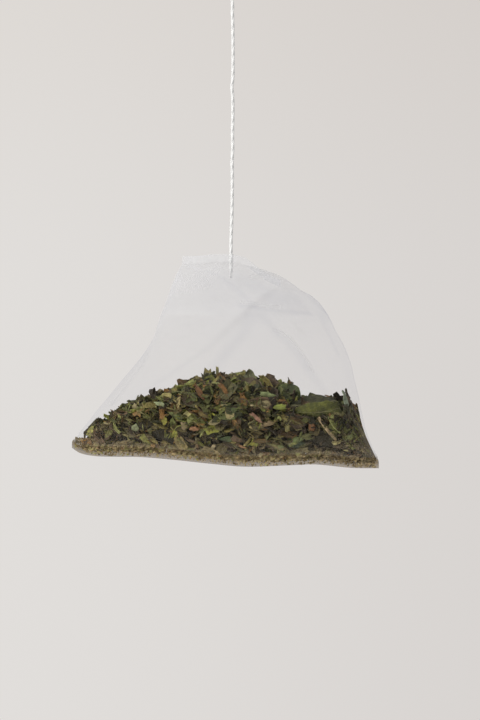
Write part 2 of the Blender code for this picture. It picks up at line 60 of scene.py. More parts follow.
# The bag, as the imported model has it
SEAM_LENGTH = 0.0640
BAG_HEIGHT = 0.0423
GAUZE_WALL = 0.00026
BOTTOM_SEAM_WIDTH = 0.0013
TOP_SEAM_WIDTH = 0.0016
RIDGE_RADIUS = 0.0034
CREASE_LEVEL = 0.735
CREASE_RISE = 0.0004
CREASE_WIDTH = 0.022
DROOP_POWER = 2
LOOP_WIDTH = 0.0042
LOOP_LENGTH = 0.0085
LOOP_LEG_GAP = 0.0009
KNOT_LENGTH = 0.0027
KNOT_RADIUS = 0.00105
THREAD_OUTSIDE = 0.0515
THREAD_TAIL = 0.0046
EXIT_Z = -(LOOP_LENGTH + KNOT_LENGTH + THREAD_OUTSIDE)
SEAM_FOOT_Z = EXIT_Z - TOP_SEAM_WIDTH
# The share of a quarter turn that a ridge takes, and the most of a half width that its radius is
CORNER_SHARE = 0.2
RIDGE_SHARE = 0.6
# The sheet as it was cut, and where its two long edges lap behind
CUT_LENGTH = 0.055
LAP_TURN = 0.60
# How far the camera stands to the right of the bag's front
PICTURE_TURN = math.radians(18)
# The thread: its plies as shares of its radius, its steps, and how its knot holds it
PLY_OFFSET = 0.37
PLY_RADIUS = 0.64
STRAND_SIDES = 8
STEPS_A_TWIST = 14
THREAD_STEPS = 58
THREAD_END_GAP = 0.0003
TAIL_TAPER = 0.0018
TAIL_SLIMMEST = 0.35
KNOT_HOLD = 0.4
KNOT_TURNS = 3.2

# Rows of (share of the bag's height, millimetres)
CENTRE_SHIFT = (
    (0, -1.7), (0.1, -1.5), (0.2, -0.7), (0.3, 0.5), (0.4, 1.6), (0.5, 2.8),
    (0.6, 3.4), (0.7, 3.3), (0.8, 3.3), (0.9, 2.8), (0.96, 1.9), (1, 0),
)
FULLNESS = (
    (0, 0), (0.1, 0.4), (0.3, 0.9), (0.5, 1.2), (0.6, 1.5),
    (0.7, 2.1), (0.8, 2.8), (0.9, 3.2), (0.96, 2.4), (1, 0),
)
FRONT_BULGE = (
    (0, 0), (0.12, 1.3), (0.3, 1.7), (0.5, 0.3), (0.7, 1.0), (0.735, 1.3), (0.79, -0.4), (1, 0),
)
BACK_BULGE = ((0, 0), (0.12, 1.3), (0.3, 1.7), (0.5, 0.2), (0.7, -0.9), (0.85, -0.3), (1, 0))
LEFT_BULGE = ((0, 0), (0.3, 0.4), (0.5, -1.2), (0.7, -1.4), (0.9, -0.4), (1, 0))
RIGHT_BULGE = ((0, 0), (0.3, 0.8), (0.5, 1.1), (0.7, 1.5), (0.88, 0.8), (1, 0))
# Rows of (place along the seam from -1 to 1, millimetres)
BOTTOM_CURVE = (
    (-1, 3.7), (-0.95, 2.7), (-0.85, 2.1), (-0.7, 2.0), (-0.55, 2.0), (-0.32, 1.5),
    (-0.08, 0.8), (0.15, 0.3), (0.45, 0.7), (0.6, 0.9), (0.83, 0.3), (1, 0.3),
)
TOP_DROOP = (
    (-1, -1.4), (-0.63, -0.9), (-0.32, -0.3), (0, 0), (0.18, -0.1),
    (0.3, -0.4), (0.59, -2.4), (0.85, -3.7), (1, -4.1),
)
TOP_BEND = ((-1, 0.9), (-0.5, 0.2), (0, 0), (0.5, 0.1), (1, 0.3))
# Soft folds: (place across, level) at each end, width as a share, height in millimetres
FRONT_FOLDS = (
    ((-0.25, 0.70), (-0.10, 0.45), 0.16, -0.8),
    ((0.45, 0.66), (0.66, 0.44), 0.12, 0.6),
    ((-0.75, 0.72), (-0.85, 0.35), 0.10, -0.5),
    ((0.20, 0.97), (0.35, 0.76), 0.14, -0.6),
)
BACK_FOLDS = (
    ((0.30, 0.80), (0.10, 0.45), 0.18, -0.8),
    ((-0.50, 0.70), (-0.62, 0.42), 0.12, 0.6),
)
# The leaf's level: millimetres across, and millimetres below the thread's exit
LEAF_LEVEL = (
    (-33, 38.8), (-30.5, 36.5), (-28, 34.2), (-25, 32.8), (-22, 30.8), (-16, 29.3), (-11, 27.2),
    (-6.5, 25.2), (-2, 24.6), (3, 24.8), (5.3, 25.2), (9, 26.6), (13, 29.2), (17, 29.8),
    (21, 30.4), (25, 30.3), (28, 34.2), (32, 40.7),
)
# The thread's sway: millimetres above its exit, and millimetres to the side
THREAD_SWAY = (
    (-5, 0), (0, 0), (3, 0.02), (8, 0.18), (15, 0.27), (19, 0.22), (20.5, 0.34), (24, 0.30),
    (28, 0.38), (31.5, 0.31), (33.4, 0.16), (34.6, 0.36), (40, 0.40), (46, 0.34), (48.6, 0.26),
    (49.6, 0.34), (51.2, 0.06),
)


def mapped(rows, at):
    """Values on the smooth curve through (place, value) rows."""
    places, values = np.array(rows, float).T
    slopes = np.gradient(values)
    slopes[1:-1] = (values[2:] - values[:-2]) / (places[2:] - places[:-2])
    slopes[0] = (values[1] - values[0]) / (places[1] - places[0])
    slopes[-1] = (values[-1] - values[-2]) / (places[-1] - places[-2])
    at = np.clip(at, places[0], places[-1])
    low = np.clip(np.searchsorted(places, at, side="right") - 1, 0, len(places) - 2)
    span = places[low + 1] - places[low]
    s = (at - places[low]) / span
    return (
        values[low] * (2 * s**3 - 3 * s**2 + 1)
        + values[low + 1] * (3 * s**2 - 2 * s**3)
        + span * slopes[low] * (s**3 - 2 * s**2 + s)
        + span * slopes[low + 1] * (s**3 - s**2)
    )


def hump(at, centre, width):
    """1 at a centre, falling off to both sides over a width."""
    return np.exp(-(((at - centre) / width) ** 2))


def section(turn, half_x, half_y):
    """Places on a rectangle with round corners, for shares of a turn from the middle of -X."""
    radius = np.minimum(RIDGE_RADIUS, RIDGE_SHARE * np.minimum(half_x, half_y))
    flat_x, flat_y = half_x - radius, half_y - radius
    quarter = np.floor(turn * 4).astype(int) % 4
    s = turn * 4 - np.floor(turn * 4)
    side_x = np.array((-1, 1, 1, -1))[quarter]
    side_y = np.array((-1, -1, 1, 1))[quarter]
    upright = quarter % 2 == 0
    side = (1 - CORNER_SHARE) / 2
    first, last = np.clip(s / side, 0, 1), np.clip((1 - s) / side, 0, 1)
    angle = math.pi + (quarter + np.clip((s - side) / CORNER_SHARE, 0, 1)) * math.pi / 2
    before, after = s < side, s > 1 - side
    tests = [before & ~upright, after & upright, before & upright, after & ~upright]
    edge_x, edge_y = side_x * half_x, side_y * half_y
    x = np.select(
        tests, [side_x * flat_x * first, side_x * flat_x * last, edge_x, edge_x],
        side_x * flat_x + radius * np.cos(angle),
    )
    y = np.select(
        tests, [edge_y, edge_y, side_y * flat_y * first, side_y * flat_y * last],
        side_y * flat_y + radius * np.sin(angle),
    )
    return x, y


def fold_depth(folds, across, level):
    """How far the soft folds push a wall outwards."""
    depth = 0.0
    for (x0, low), (x1, high), width, height in folds:
        s = (level - low) / (high - low)
        off = (across - x0 - (x1 - x0) * s) / width
        ends = np.clip(np.minimum(s, 1 - s) * 4 + 0.5, 0, 1)
        depth = depth + height * ends * np.exp(-off * off)
    return depth


def bag_places(turn, level, inset):
    """Places on the bag's wall, for shares of a turn and shares of its height."""
    half = SEAM_LENGTH / 2
    grow = GAUZE_WALL - inset
    half_x = half * (1 - level) + mapped(FULLNESS, level) * MM + grow
    half_y = half * level + grow
    crease = CREASE_RISE * hump(level, CREASE_LEVEL, CREASE_WIDTH)
    x, y = section(turn, half_x, half_y)
    across, along = x / half_x, y / half_y
    side = np.where(x > 0, mapped(RIGHT_BULGE, level), mapped(LEFT_BULGE, level))
    face = np.where(
        y > 0,
        mapped(BACK_BULGE, level) + fold_depth(BACK_FOLDS, across, level),
        mapped(FRONT_BULGE, level) + fold_depth(FRONT_FOLDS, across, level),
    )
    px = x + (side * MM + crease) * across * (1 - along**2) + mapped(CENTRE_SHIFT, level) * MM
    py = y + (face * MM + crease) * along * (1 - across**2)
    foot = -BAG_HEIGHT + TOP_SEAM_WIDTH + mapped(BOTTOM_CURVE, x / half) * MM + BOTTOM_SEAM_WIDTH
    droop = mapped(TOP_DROOP, y / half) * MM * level**DROOP_POWER
    px = px + mapped(TOP_BEND, y / half) * MM * level**DROOP_POWER
    return np.stack((px, py, SEAM_FOOT_Z + foot * (1 - level) + droop), axis=-1)


def as_mesh(bm, name):
    """The mesh of a finished bmesh, which is freed."""
    mesh = bpy.data.meshes.new(name)
    bm.to_mesh(mesh)
    bm.free()
    return mesh


def add_object(name, data):
    """A new object in the scene."""
    thing = bpy.data.objects.new(name, data)
    bpy.context.scene.collection.objects.link(thing)
    return thing


def add_piece(name, bm, material, smooth=True):
    """A finished piece at the origin, riding on the row's one body."""
    mesh = as_mesh(bm, name)
    mesh.materials.append(material)
    if smooth:
        mesh.shade_smooth()
    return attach(add_object(name, mesh), "root")


class Finish:
    """The node tree of a finish or of the background, filled from empty"""

    def __init__(self, tree):
        tree.nodes.clear()
        self.nodes = tree.nodes
        self.links = tree.links

    def put(self, socket, value):
        """Gives an input a number, a colour or what another node gives out."""
        if isinstance(value, bpy.types.Node):
            value = value.outputs[0]
        if isinstance(value, bpy.types.NodeSocket):
            self.links.new(value, socket)
        else:
            socket.default_value = value

    def add(self, kind, *inputs, **values):
        """A node with its settings, its named inputs (_ for a space) and its first inputs."""
        node = self.nodes.new(f"ShaderNode{kind}")
        for key, value in values.items():
            name = key.replace("_", " ")
            if name in node.inputs:
                self.put(node.inputs[name], value)
            else:
                setattr(node, key, value)
        for socket, value in zip(node.inputs, inputs):
            self.put(socket, value)
        return node

    def maths(self, operation, *inputs, clamp=False):
        """The result of one sum."""
        return self.add("Math", *inputs, operation=operation, use_clamp=clamp).outputs[0]

    def mixed(self, factor, first, second, blend="MIX"):
        """The mix of two colours."""
        node = self.add("Mix", factor, data_type="RGBA", blend_type=blend)
        self.put(node.inputs[6], first)
        self.put(node.inputs[7], second)
        return node.outputs[2]

    def eased(self, value, low, high, top=1.0):
        """A value mapped smoothly from between two bounds to between 0 and a top."""
        span = (value, low, high, 0.0, top)
        return self.add("MapRange", *span, interpolation_type="SMOOTHSTEP").outputs[0]

    def grain(self, place, scale, detail, roughness=0.5):
        """A cloudy or grainy pattern at a place."""
        node = self.add("TexNoise", Vector=place, Scale=scale, Detail=detail, Roughness=roughness)
        return node.outputs["Fac"]


def new_material(name):
    """An empty material, and the node tree of its finish."""
    material = bpy.data.materials.new(name)
    material.use_nodes = True
    return material, Finish(material.node_tree)


def linear(colour):
    """A colour of 0 to 255 a channel, as the shader reads it."""
    shares = [c / 255 for c in colour]
    return (*(s / 12.92 if s <= 0.04045 else ((s + 0.055) / 1.055) ** 2.4 for s in shares), 1.0)


def colour_prop(name, description, colour):
    """A colour setting with its default."""
    return bpy.props.FloatVectorProperty(
        name=name, description=description, default=linear(colour),
        subtype="COLOR", size=4, min=0, max=1,
    )


def length_prop(name, description, metres):
    """A length setting in metres with its default."""
    return bpy.props.FloatProperty(
        name=name, description=description, default=metres, min=0, unit="LENGTH", precision=5
    )


def count_prop(name, description, count, least=0):
    """A whole number with its default."""
    return bpy.props.IntProperty(name=name, description=description, default=count, min=least)


class TeaBagGauze(bpy.types.PropertyGroup):
    """The sheer bag"""

    weave_pitch: length_prop("Weave pitch", "Distance between neighbouring yarns", 0.00027)
    lap: length_prop("Back lap", "Overlap of the sheet's two long edges", 0.0022)
    wrinkle: length_prop("Wrinkles", "Height of the small wrinkles", 0.00022)
    yarn: colour_prop("Yarn", "Colour of the yarns", (250, 251, 253))
    tint: colour_prop("Tint", "What a dense patch lets through", (214, 217, 228))
    dust: colour_prop("Dust", "Fine tea dust at the foot", (180, 158, 114))
    rows: count_prop("Rows", "Mesh rows up the bag", 220, 40)
    columns: count_prop("Columns", "Mesh columns round the bag", 420, 80)


class TeaBagThread(bpy.types.PropertyGroup):
    """The cotton thread and its loop"""

    diameter: length_prop("Thickness", "Thread thickness", 0.0007)
    pitch: length_prop("Twist", "Length of one turn of the three plies", 0.0056)
    cotton: colour_prop("Cotton", "Colour of the thread", (250, 249, 246))


class TeaBagLeaf(bpy.types.PropertyGroup):
    """The dried leaf"""

    scraps: count_prop("Scraps", "How many leaf scraps", 5400, 100)
    crumbs: count_prop("Crumbs", "How many fine crumbs", 2900)
    specks: count_prop("Specks", "How many specks in the foot", 2300)
    filling: count_prop("Low filling", "How many scraps between the sheets above the foot", 380)
    smallest: length_prop("Smallest scrap", "Length of the smallest scraps", 0.0012)
    largest: length_prop("Largest scrap", "Length of the largest scraps", 0.0044)
    seed: count_prop("Seed", "Which of the random layouts", 11)


class TeaBagStage(bpy.types.PropertyGroup):
    """Camera, light, floor and background"""

    azimuth: bpy.props.FloatProperty(
        name="Azimuth", description="Camera's turn to the right", default=PICTURE_TURN,
        subtype="ANGLE",
    )
    distance: length_prop("Distance", "Camera to thread", 0.6)
    aim_side: length_prop("Aim aside", "Picture centre to the right of the thread", 0.00178)
    aim_drop: length_prop("Aim below", "Picture centre below the thread's exit", 0.0209)
    lens: bpy.props.FloatProperty(
        name="Lens", description="Focal length in millimetres", default=151.5
    )
    floor_drop: length_prop("Floor", "Floor's depth below the picture's centre", 0.25)
    left: colour_prop("Background left", "Background at the picture's left", (225, 222, 219))
    right: colour_prop("Background right", "Background at the picture's right", (216, 212, 209))
    high: colour_prop("Background top", "What the top takes off the background", (251, 249, 247))


class TEABAG_OT_set_stage(bpy.types.Operator):
    """Set the camera, the soft light, the pale floor and the background"""

    bl_idname = "teabag.set_stage"
    bl_label = "Set stage"

    def execute(self, context):
        values = context.scene.tea_bag_stage
        turn = values.azimuth
        right = Vector((math.cos(turn), math.sin(turn), 0))
        forward = Vector((-math.sin(turn), math.cos(turn), 0))
        up = Vector((0, 0, 1))
        aim = Vector((0, 0, EXIT_Z)) + right * values.aim_side - up * values.aim_drop
        add_camera(aim, forward, values)
        add_lamp("key_light", aim, right * -0.75 - forward * 0.55 + up * 0.55, 0.30, 9.0)
        add_lamp("fill_light", aim, right * 0.7 - forward * 0.9 + up * 0.2, 0.6, 1.2)
        add_floor(aim, values)
        set_world(right, values)
        context.scene.view_settings.view_transform = "Standard"
        context.scene.cycles.transparent_max_bounces = 40
        return {"FINISHED"}


def add_camera(aim, forward, values):
    """The camera at the picture's angle."""
    data = bpy.data.cameras.new("camera")
    data.lens = values.lens
    data.sensor_width = 36
    data.clip_start = 0.01
    data.clip_end = 20
    camera = add_object("camera", data)
    camera.location = aim - forward * values.distance
    camera.rotation_euler = forward.to_track_quat("-Z", "Y").to_euler()
    bpy.context.scene.camera = camera


def add_lamp(name, aim, offset, size, energy):
    """A square soft light that faces the bag."""
    data = bpy.data.lights.new(name, "AREA")
    data.size = size
    data.energy = energy
    lamp = add_object(name, data)
    lamp.location = aim + offset
    lamp.rotation_euler = (-offset).to_track_quat("-Z", "Y").to_euler()


def add_floor(aim, values):
    """A pale round floor, well below the picture."""
    bm = bmesh.new()
    bmesh.ops.create_circle(bm, cap_ends=True, segments=96, radius=0.5)
    bmesh.ops.translate(bm, verts=bm.verts, vec=(0, 0, aim.z - values.floor_drop))
    floor = add_object("floor", as_mesh(bm, "floor"))
    material, finish = new_material("pale_floor")
    grain = finish.grain(finish.add("TexCoord").outputs["Object"], 60.0, 4.0)
    colour = finish.mixed(grain, linear((221, 217, 213)), linear((229, 225, 221)))
    surface = finish.add("BsdfPrincipled", Base_Color=colour, Roughness=0.9)
    finish.add("OutputMaterial", surface)
    floor.data.materials.append(material)


def set_world(right, values):
    """A soft even light, and the pale background that the camera and reflections see, graded as
    painted light: lighter toward the left and darker at the top.
    """
    world = bpy.data.worlds.new("studio")
    bpy.context.scene.world = world
    world.use_nodes = True
    finish = Finish(world.node_tree)
    direction = finish.add("TexCoord").outputs["Generated"]
    aside = finish.add("VectorMath", direction, right, operation="DOT_PRODUCT").outputs["Value"]
    upward = finish.add("SeparateXYZ", direction).outputs["Z"]
    # Painted light on the backdrop: lighter toward the left, where the light comes from, and darker
    # at the top
    colour = finish.mixed(finish.eased(aside, -0.10, 0.11), values.left, values.right)
    colour = finish.mixed(finish.eased(upward, 0.01, 0.16), colour, values.high, "MULTIPLY")
    seen = finish.add("Background", colour)
    light = finish.add("Background", linear((238, 238, 240)), 0.50)
    path = finish.add("LightPath").outputs
    which = finish.maths("MAXIMUM", path["Is Camera Ray"], path["Is Glossy Ray"])
    which = finish.maths("MAXIMUM", which, path["Is Transmission Ray"])
    finish.add("OutputWorld", finish.add("MixShader", which, light, seen))


def cotton_material(values):
    """Soft white twisted cotton."""
    material, finish = new_material("cotton_thread")
    place = finish.add("TexCoord").outputs["Object"]
    stretched = finish.add("Mapping", place, Scale=(1, 1, 0.25))
    fibre = finish.grain(stretched, 14000.0, 3.0, 0.6)
    shaded = [0.86 * c for c in values.cotton[:3]] + [1]
    bump = finish.add("Bump", Height=fibre, Strength=0.5, Distance=0.00006)
    surface = finish.add(
        "BsdfPrincipled", Base_Color=finish.mixed(fibre, shaded, values.cotton), Normal=bump,
        Roughness=0.85, Sheen_Weight=0.3, Sheen_Roughness=0.6, Specular_IOR_Level=0.2,
    )
    finish.add("OutputMaterial", surface)
    return material


def strand(bm, line, radius, taper=0.0):
    """A closed round strand along a line of points, by bridging circles, thinner at its start."""
    last = None
    gone = 0.0
    for i, place in enumerate(line):
        ahead = line[min(i + 1, len(line) - 1)] - line[max(i - 1, 0)]
        turn = Vector((0, 1, 0)).cross(ahead)
        side = (Vector((1, 0, 0)) if turn.length < 1e-9 else turn).normalized()
        up = ahead.normalized()
        basis = Matrix((side, up.cross(side), up)).transposed().to_4x4()
        gone += (place - line[max(i - 1, 0)]).length
        slim = TAIL_SLIMMEST + (1 - TAIL_SLIMMEST) * min(gone / taper, 1) if taper else 1
        circle = bmesh.ops.create_circle(
            bm, cap_ends=i in (0, len(line) - 1), segments=STRAND_SIDES, radius=radius * slim,
            matrix=Matrix.Translation(place) @ basis,
        )["verts"]
        ring = list({edge for vert in circle for edge in vert.link_edges})
        if last:
            bmesh.ops.bridge_loops(bm, edges=last + ring)
        last = ring


def twisted(line, offset, pitch, phase):
    """A finer line that winds round a line of points."""
    places = np.array(line)
    steps = np.linalg.norm(np.diff(places, axis=0), axis=1)
    gone = np.concatenate(((0,), np.cumsum(steps)))
    count = max(8, round(gone[-1] / pitch * STEPS_A_TWIST))
    result = []
    for at in np.linspace(0, gone[-1], count + 1):
        place = Vector([np.interp(at, gone, places[:, k]) for k in range(3)])
        near = min(max(np.searchsorted(gone, at), 1), len(line) - 1)
        up = (line[near] - line[near - 1]).normalized()
        side = up.cross(Vector((0, 1, 0)) if abs(up.y) < 0.9 else Vector((1, 0, 0))).normalized()
        angle = phase + 2 * math.pi * at / pitch
        result.append(place + offset * (math.cos(angle) * side + math.sin(angle) * up.cross(side)))
    return result


def twist_plies(bm, line, values, taper=0.0):
    """Three plies that wind round each other along a line."""
    radius = values.diameter / 2
    for ply in range(3):
        ply_line = twisted(line, PLY_OFFSET * radius, values.pitch, ply * 2 * math.pi / 3)
        strand(bm, ply_line, PLY_RADIUS * radius, taper)


def thread_line():
    """The thread's middle line, from its tail inside the bag up to the knot."""
    line = []
    for height in np.linspace(-THREAD_TAIL, THREAD_OUTSIDE - THREAD_END_GAP, THREAD_STEPS):
        sway = float(mapped(THREAD_SWAY, height / MM)) * MM
        aside = (sway * math.cos(PICTURE_TURN), sway * math.sin(PICTURE_TURN))
        line.append(Vector((*aside, EXIT_Z + height)))
    return line


def loop_line(diameter):
    """The loop's middle line: two legs that rise out of the knot and meet in a round top."""
    reach = (LOOP_WIDTH - diameter) / 2
    foot = Vector((LOOP_LEG_GAP / 2, 0, -LOOP_LENGTH - KNOT_HOLD * KNOT_LENGTH))
    centre = Vector((0, 0, diameter / 2 - reach))
    leg = []
    for i in range(10):
        s = i / 10
        ease = s * s * (3 - 2 * s)
        leg.append(Vector((foot.x + (reach - foot.x) * ease, 0, foot.z + (centre.z - foot.z) * s)))
    arc = []
    for i in range(17):
        turn = math.pi * i / 16
        arc.append(centre + reach * Vector((math.cos(turn), 0, math.sin(turn))))
    return leg + arc + [Vector((-p.x, p.y, p.z)) for p in reversed(leg)]


def knot_line(diameter):
    """The turns of thread that make the knot."""
    wide = KNOT_RADIUS - diameter * 0.42
    low = -LOOP_LENGTH - KNOT_LENGTH + diameter * 0.55
    high = -LOOP_LENGTH - diameter * 0.45
    line = []
    for i in range(61):
        s = i / 60
        turn = 2 * math.pi * KNOT_TURNS * s
        reach = wide * (0.55 + 0.45 * math.sin(math.pi * min(max(s * 1.1 - 0.05, 0), 1)))
        height = low + (high - low) * s
        line.append(Vector((reach * math.cos(turn), reach * math.sin(turn), height)))
    return line


class TEABAG_OT_hang_thread(bpy.types.Operator):
    """Twist the cotton thread and tie the loop it hangs by"""

    bl_idname = "teabag.hang_thread"
    bl_label = "Hang thread"

    def execute(self, context):
        values = context.scene.tea_bag_thread
        material = cotton_material(values)
        line = thread_line()
        # The plies run on into the knot, which holds them
        drawn = line + [line[-1] + Vector((0, 0, KNOT_LENGTH * KNOT_HOLD))]
        bm = bmesh.new()
        twist_plies(bm, drawn, values, TAIL_TAPER)
        thread = add_piece("cotton_thread", bm, material)
        bm = bmesh.new()
        twist_plies(bm, loop_line(values.diameter), values)
        strand(bm, knot_line(values.diameter), 0.92 * values.diameter / 2)
        loop = add_piece("tied_loop", bm, material)
        for piece, node in ((thread, "thread"), (loop, "loop_knot")):
            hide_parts(node)
        return {"FINISHED"}


# How much the gauze dims what is behind it, and how much of that it covers: along its yarns, between
# them, where the cloth is close or holds painted shade, where painted highlights brighten it, and
# where it is dusty
YARN_DIM, OPEN_DIM, CLOSE_DIM = 0.06, 0.055, 0.50
YARN_COVER, OPEN_COVER, CLOSE_COVER, PAINTED_HIGHLIGHT_COVER, DUST_COVER = 0.012, 0.003, 0.03, 0.28, 0.72
DARK_DUST = (92, 76, 50)
# How close the cloth looks, partly as painted shade, on its ridges in front and behind, at its
# crease, above the crease, where it laps, and in the strip beyond the top weld
RIDGE_FRONT, RIDGE_BACK, CREASE_CLOSE = 0.20, 0.10, 0.15
RIDGE_WIDTH = 0.04
UPPER_CLOSE, LAP_CLOSE, STRIP_CLOSE = 0.07, 0.06, -0.10
WELD_EDGE_CLOSE = 0.6
# The height of the puckers at the welds and how far they reach, as a share of the bag's height
PUCKER = 0.00012
PUCKER_REACH = 0.05
LAP_RISE = 0.00012
# Shares of the height over which the two layers close at a weld, and the wrinkles fade there
PINCH_SHARE, SMOOTH_SHARE = 0.02, 0.10
# How far the top weld's layers stand off the thread between them, and over what width
THREAD_ROOM, THREAD_ROOM_WIDTH = 0.47 * MM, 0.75 * MM
# Painted shade and painted highlights along the folds and creases of the cloth: (share of a turn,
# share of the height) along each, millimetres wide, how much closer and darker the cloth is made
# there, partly for the fold's extra cloth, and how much brighter
FOLD_SHADE_AND_HIGHLIGHTS = (
    (((0.356, 0.735), (0.318, 0.663), (0.278, 0.587), (0.255, 0.519), (0.245, 0.475), (0.242, 0.403)),
     1.3, 0.26, 0),
    (((0.350, 0.785), (0.371, 0.780), (0.395, 0.764), (0.436, 0.752), (0.470, 0.745), (0.51, 0.740)),
     0.5, 0.30, 0),
    (((0.360, 0.802), (0.371, 0.802), (0.395, 0.786), (0.436, 0.776)), 0.5, -0.1, 1.0),
    (((0.376, 0.660), (0.384, 0.645), (0.390, 0.617), (0.388, 0.565), (0.384, 0.503), (0.380, 0.451)),
     0.5, -0.1, 0.9),
    (((0.372, 0.640), (0.380, 0.600), (0.379, 0.540), (0.374, 0.460)), 0.8, 0.12, 0),
    (((0.425, 0.748), (0.440, 0.707), (0.440, 0.655)), 1.5, -0.1, 0.30),
    (((0.424, 0.920), (0.420, 0.890), (0.441, 0.860), (0.430, 0.820), (0.500, 0.810)),
     2.6, 0.24, 0),
    (((0.546, 0.723), (0.542, 0.631), (0.537, 0.553)), 1.6, 0.20, 0),
    (((0.561, 0.908), (0.579, 0.844), (0.605, 0.792)), 1.0, 0.25, 0),
    (((0.135, 0.521), (0.144, 0.457), (0.146, 0.375), (0.149, 0.251)), 0.35, 0.08, 0.7),
    (((0.128, 0.521), (0.134, 0.457), (0.137, 0.375), (0.141, 0.251)), 1.1, 0.06, 0.25),
    (((0.446, 0.922), (0.487, 0.934), (0.536, 0.964)), 0.4, -0.1, 0.8),
    (((0.495, 0.310), (0.480, 0.220), (0.450, 0.128), (0.390, 0.045)), 0.7, 0.15, 0.40),
    (((0.170, 0.960), (0.180, 0.800), (0.185, 0.550)), 7.0, -0.10, 0),
)


def gauze_material(values):
    """Sheer woven gauze: clear between its yarns, closer where attributes say so, darker where they
    hold painted shade and brighter where they hold painted highlights.
    """
    material, finish = new_material("sheer_gauze")
    cloth = finish.add("SeparateXYZ", finish.add("UVMap", uv_map="cloth"))
    yarns = []
    for axis in ("X", "Y"):
        turns = finish.maths("MULTIPLY", cloth.outputs[axis], math.pi / values.weave_pitch)
        wave = finish.maths("ABSOLUTE", finish.maths("SINE", turns))
        yarns.append(finish.maths("POWER", wave, 4.0))
    weave = finish.maths("MAXIMUM", *yarns)
    close_and_shade, bright, dust = (
        finish.add("Attribute", attribute_name=name).outputs["Fac"]
        for name in ("closeness_and_shade", "painted_highlight", "dust")
    )
    place = finish.add("TexCoord").outputs["Object"]
    uneven = finish.maths("MULTIPLY_ADD", finish.grain(place, 120.0, 3.0), 0.7, 0.65)
    # What the sheet holds back: more along yarns and in close folds
    dim = finish.maths("MULTIPLY_ADD", weave, YARN_DIM, OPEN_DIM)
    dim = finish.maths("MULTIPLY_ADD", close_and_shade, CLOSE_DIM, dim)
    dim = finish.maths("MULTIPLY", dim, uneven, clamp=True)
    clear = finish.add("BsdfTransparent", finish.mixed(dim, (1, 1, 1, 1), values.tint))
    # The yarns themselves, and the fine tea dust that clings to them at the foot
    grain = finish.eased(finish.grain(place, 2600.0, 4.0, 0.75), 0.38, 0.62)
    powder = finish.mixed(grain, linear(DARK_DUST), values.dust)
    colour = finish.mixed(finish.maths("MULTIPLY", dust, 1.6, clamp=True), values.yarn, powder)
    yarn = finish.add(
        "BsdfPrincipled", Base_Color=colour, Roughness=0.55, Sheen_Weight=0.2,
        Specular_IOR_Level=0.4,
    )
    body = finish.add("MixShader", 0.6, yarn, finish.add("BsdfTranslucent", colour))
    cover = finish.maths("MULTIPLY_ADD", weave, YARN_COVER, OPEN_COVER)
    cover = finish.maths("MULTIPLY_ADD", close_and_shade, CLOSE_COVER, cover)
    cover = finish.maths("MULTIPLY_ADD", bright, PAINTED_HIGHLIGHT_COVER, cover)
    powdered = finish.maths("MULTIPLY_ADD", grain, 0.30, 0.70)
    powdered = finish.maths("MULTIPLY", powdered, dust)
    cover = finish.maths("MULTIPLY_ADD", powdered, DUST_COVER, cover, clamp=True)
    finish.add("OutputMaterial", finish.add("MixShader", cover, clear, body))
    return material


def set_attribute(mesh, name, values):
    """A number for each point of a mesh."""
    attribute = mesh.attributes.new(name, "FLOAT", "POINT")
    attribute.data.foreach_set("value", np.asarray(values, np.float32))


class TEABAG_OT_weld_gauze(bpy.types.Operator):
    """Wrap, fold and weld the sheer sheet into the bag"""

    bl_idname = "teabag.weld_gauze"
    bl_label = "Weld gauze"

    def execute(self, context):
        values = context.scene.tea_bag_gauze
        bm = bmesh.new()
        cloth = bm.loops.layers.uv.new("cloth")
        bmesh.ops.create_grid(
            bm, x_segments=values.columns, y_segments=values.rows, size=0.5, calc_uvs=True
        )
        flat = np.array([v.co for v in bm.verts])
        round_share, up_share = flat[:, 0] + 0.5, flat[:, 1] + 0.5
        places, marks = wrapped_sheet(round_share, up_share, values)
        for vert, place in zip(bm.verts, places):
            vert.co = place
        # Real lengths along the cloth, so that the weave keeps its pitch
        wide = 2 * SEAM_LENGTH + values.lap
        for face in bm.faces:
            for loop in face.loops:
                i = loop.vert.index
                loop[cloth].uv = (round_share[i] * wide, up_share[i] * CUT_LENGTH)
        bmesh.ops.recalc_face_normals(bm, faces=bm.faces)
        gauze = add_piece("welded_gauze", bm, gauze_material(values))
        for name, numbers in marks.items():
            set_attribute(gauze.data, name, numbers)
        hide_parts("gauze_bag")
        return {"FINISHED"}


def near_line(points, turn, level, width):
    """How near places on the wall are to a line on it: 1 on the line, falling off over a width."""
    around, upright = 2 * SEAM_LENGTH / MM, 1.1 * BAG_HEIGHT / MM
    best = np.full(turn.shape, 1e9)
    for (t0, l0), (t1, l1) in zip(points, points[1:]):
        ax, ay = (t1 - t0) * around, (l1 - l0) * upright
        px, py = (turn - t0) * around, (level - l0) * upright
        s = np.clip((px * ax + py * ay) / (ax * ax + ay * ay), 0, 1)
        best = np.minimum(best, (px - s * ax) ** 2 + (py - s * ay) ** 2)
    return np.exp(-best / width**2)


def wrapped_sheet(round_share, up_share, values):
    """Where the sheet's points go, and how close, bright and dusty the cloth looks there."""
    around = round_share * (1 + values.lap / (2 * SEAM_LENGTH))
    turn, lap = (LAP_TURN + around) % 1.0, around > 1
    tall = BAG_HEIGHT + TOP_SEAM_WIDTH + BOTTOM_SEAM_WIDTH
    low, high = BOTTOM_SEAM_WIDTH / tall, 1 - TOP_SEAM_WIDTH / tall
    level = np.clip((up_share - low) / (high - low), 0, 1)
    beyond_top = np.clip((up_share - high) / (1 - high), 0, 1)
    beyond_bottom = np.clip((low - up_share) / low, 0, 1)
    places = sheet_places(turn, level, lap, beyond_top, beyond_bottom, values)
    return places, cloth_looks(places, turn, level, lap, beyond_top, beyond_bottom)


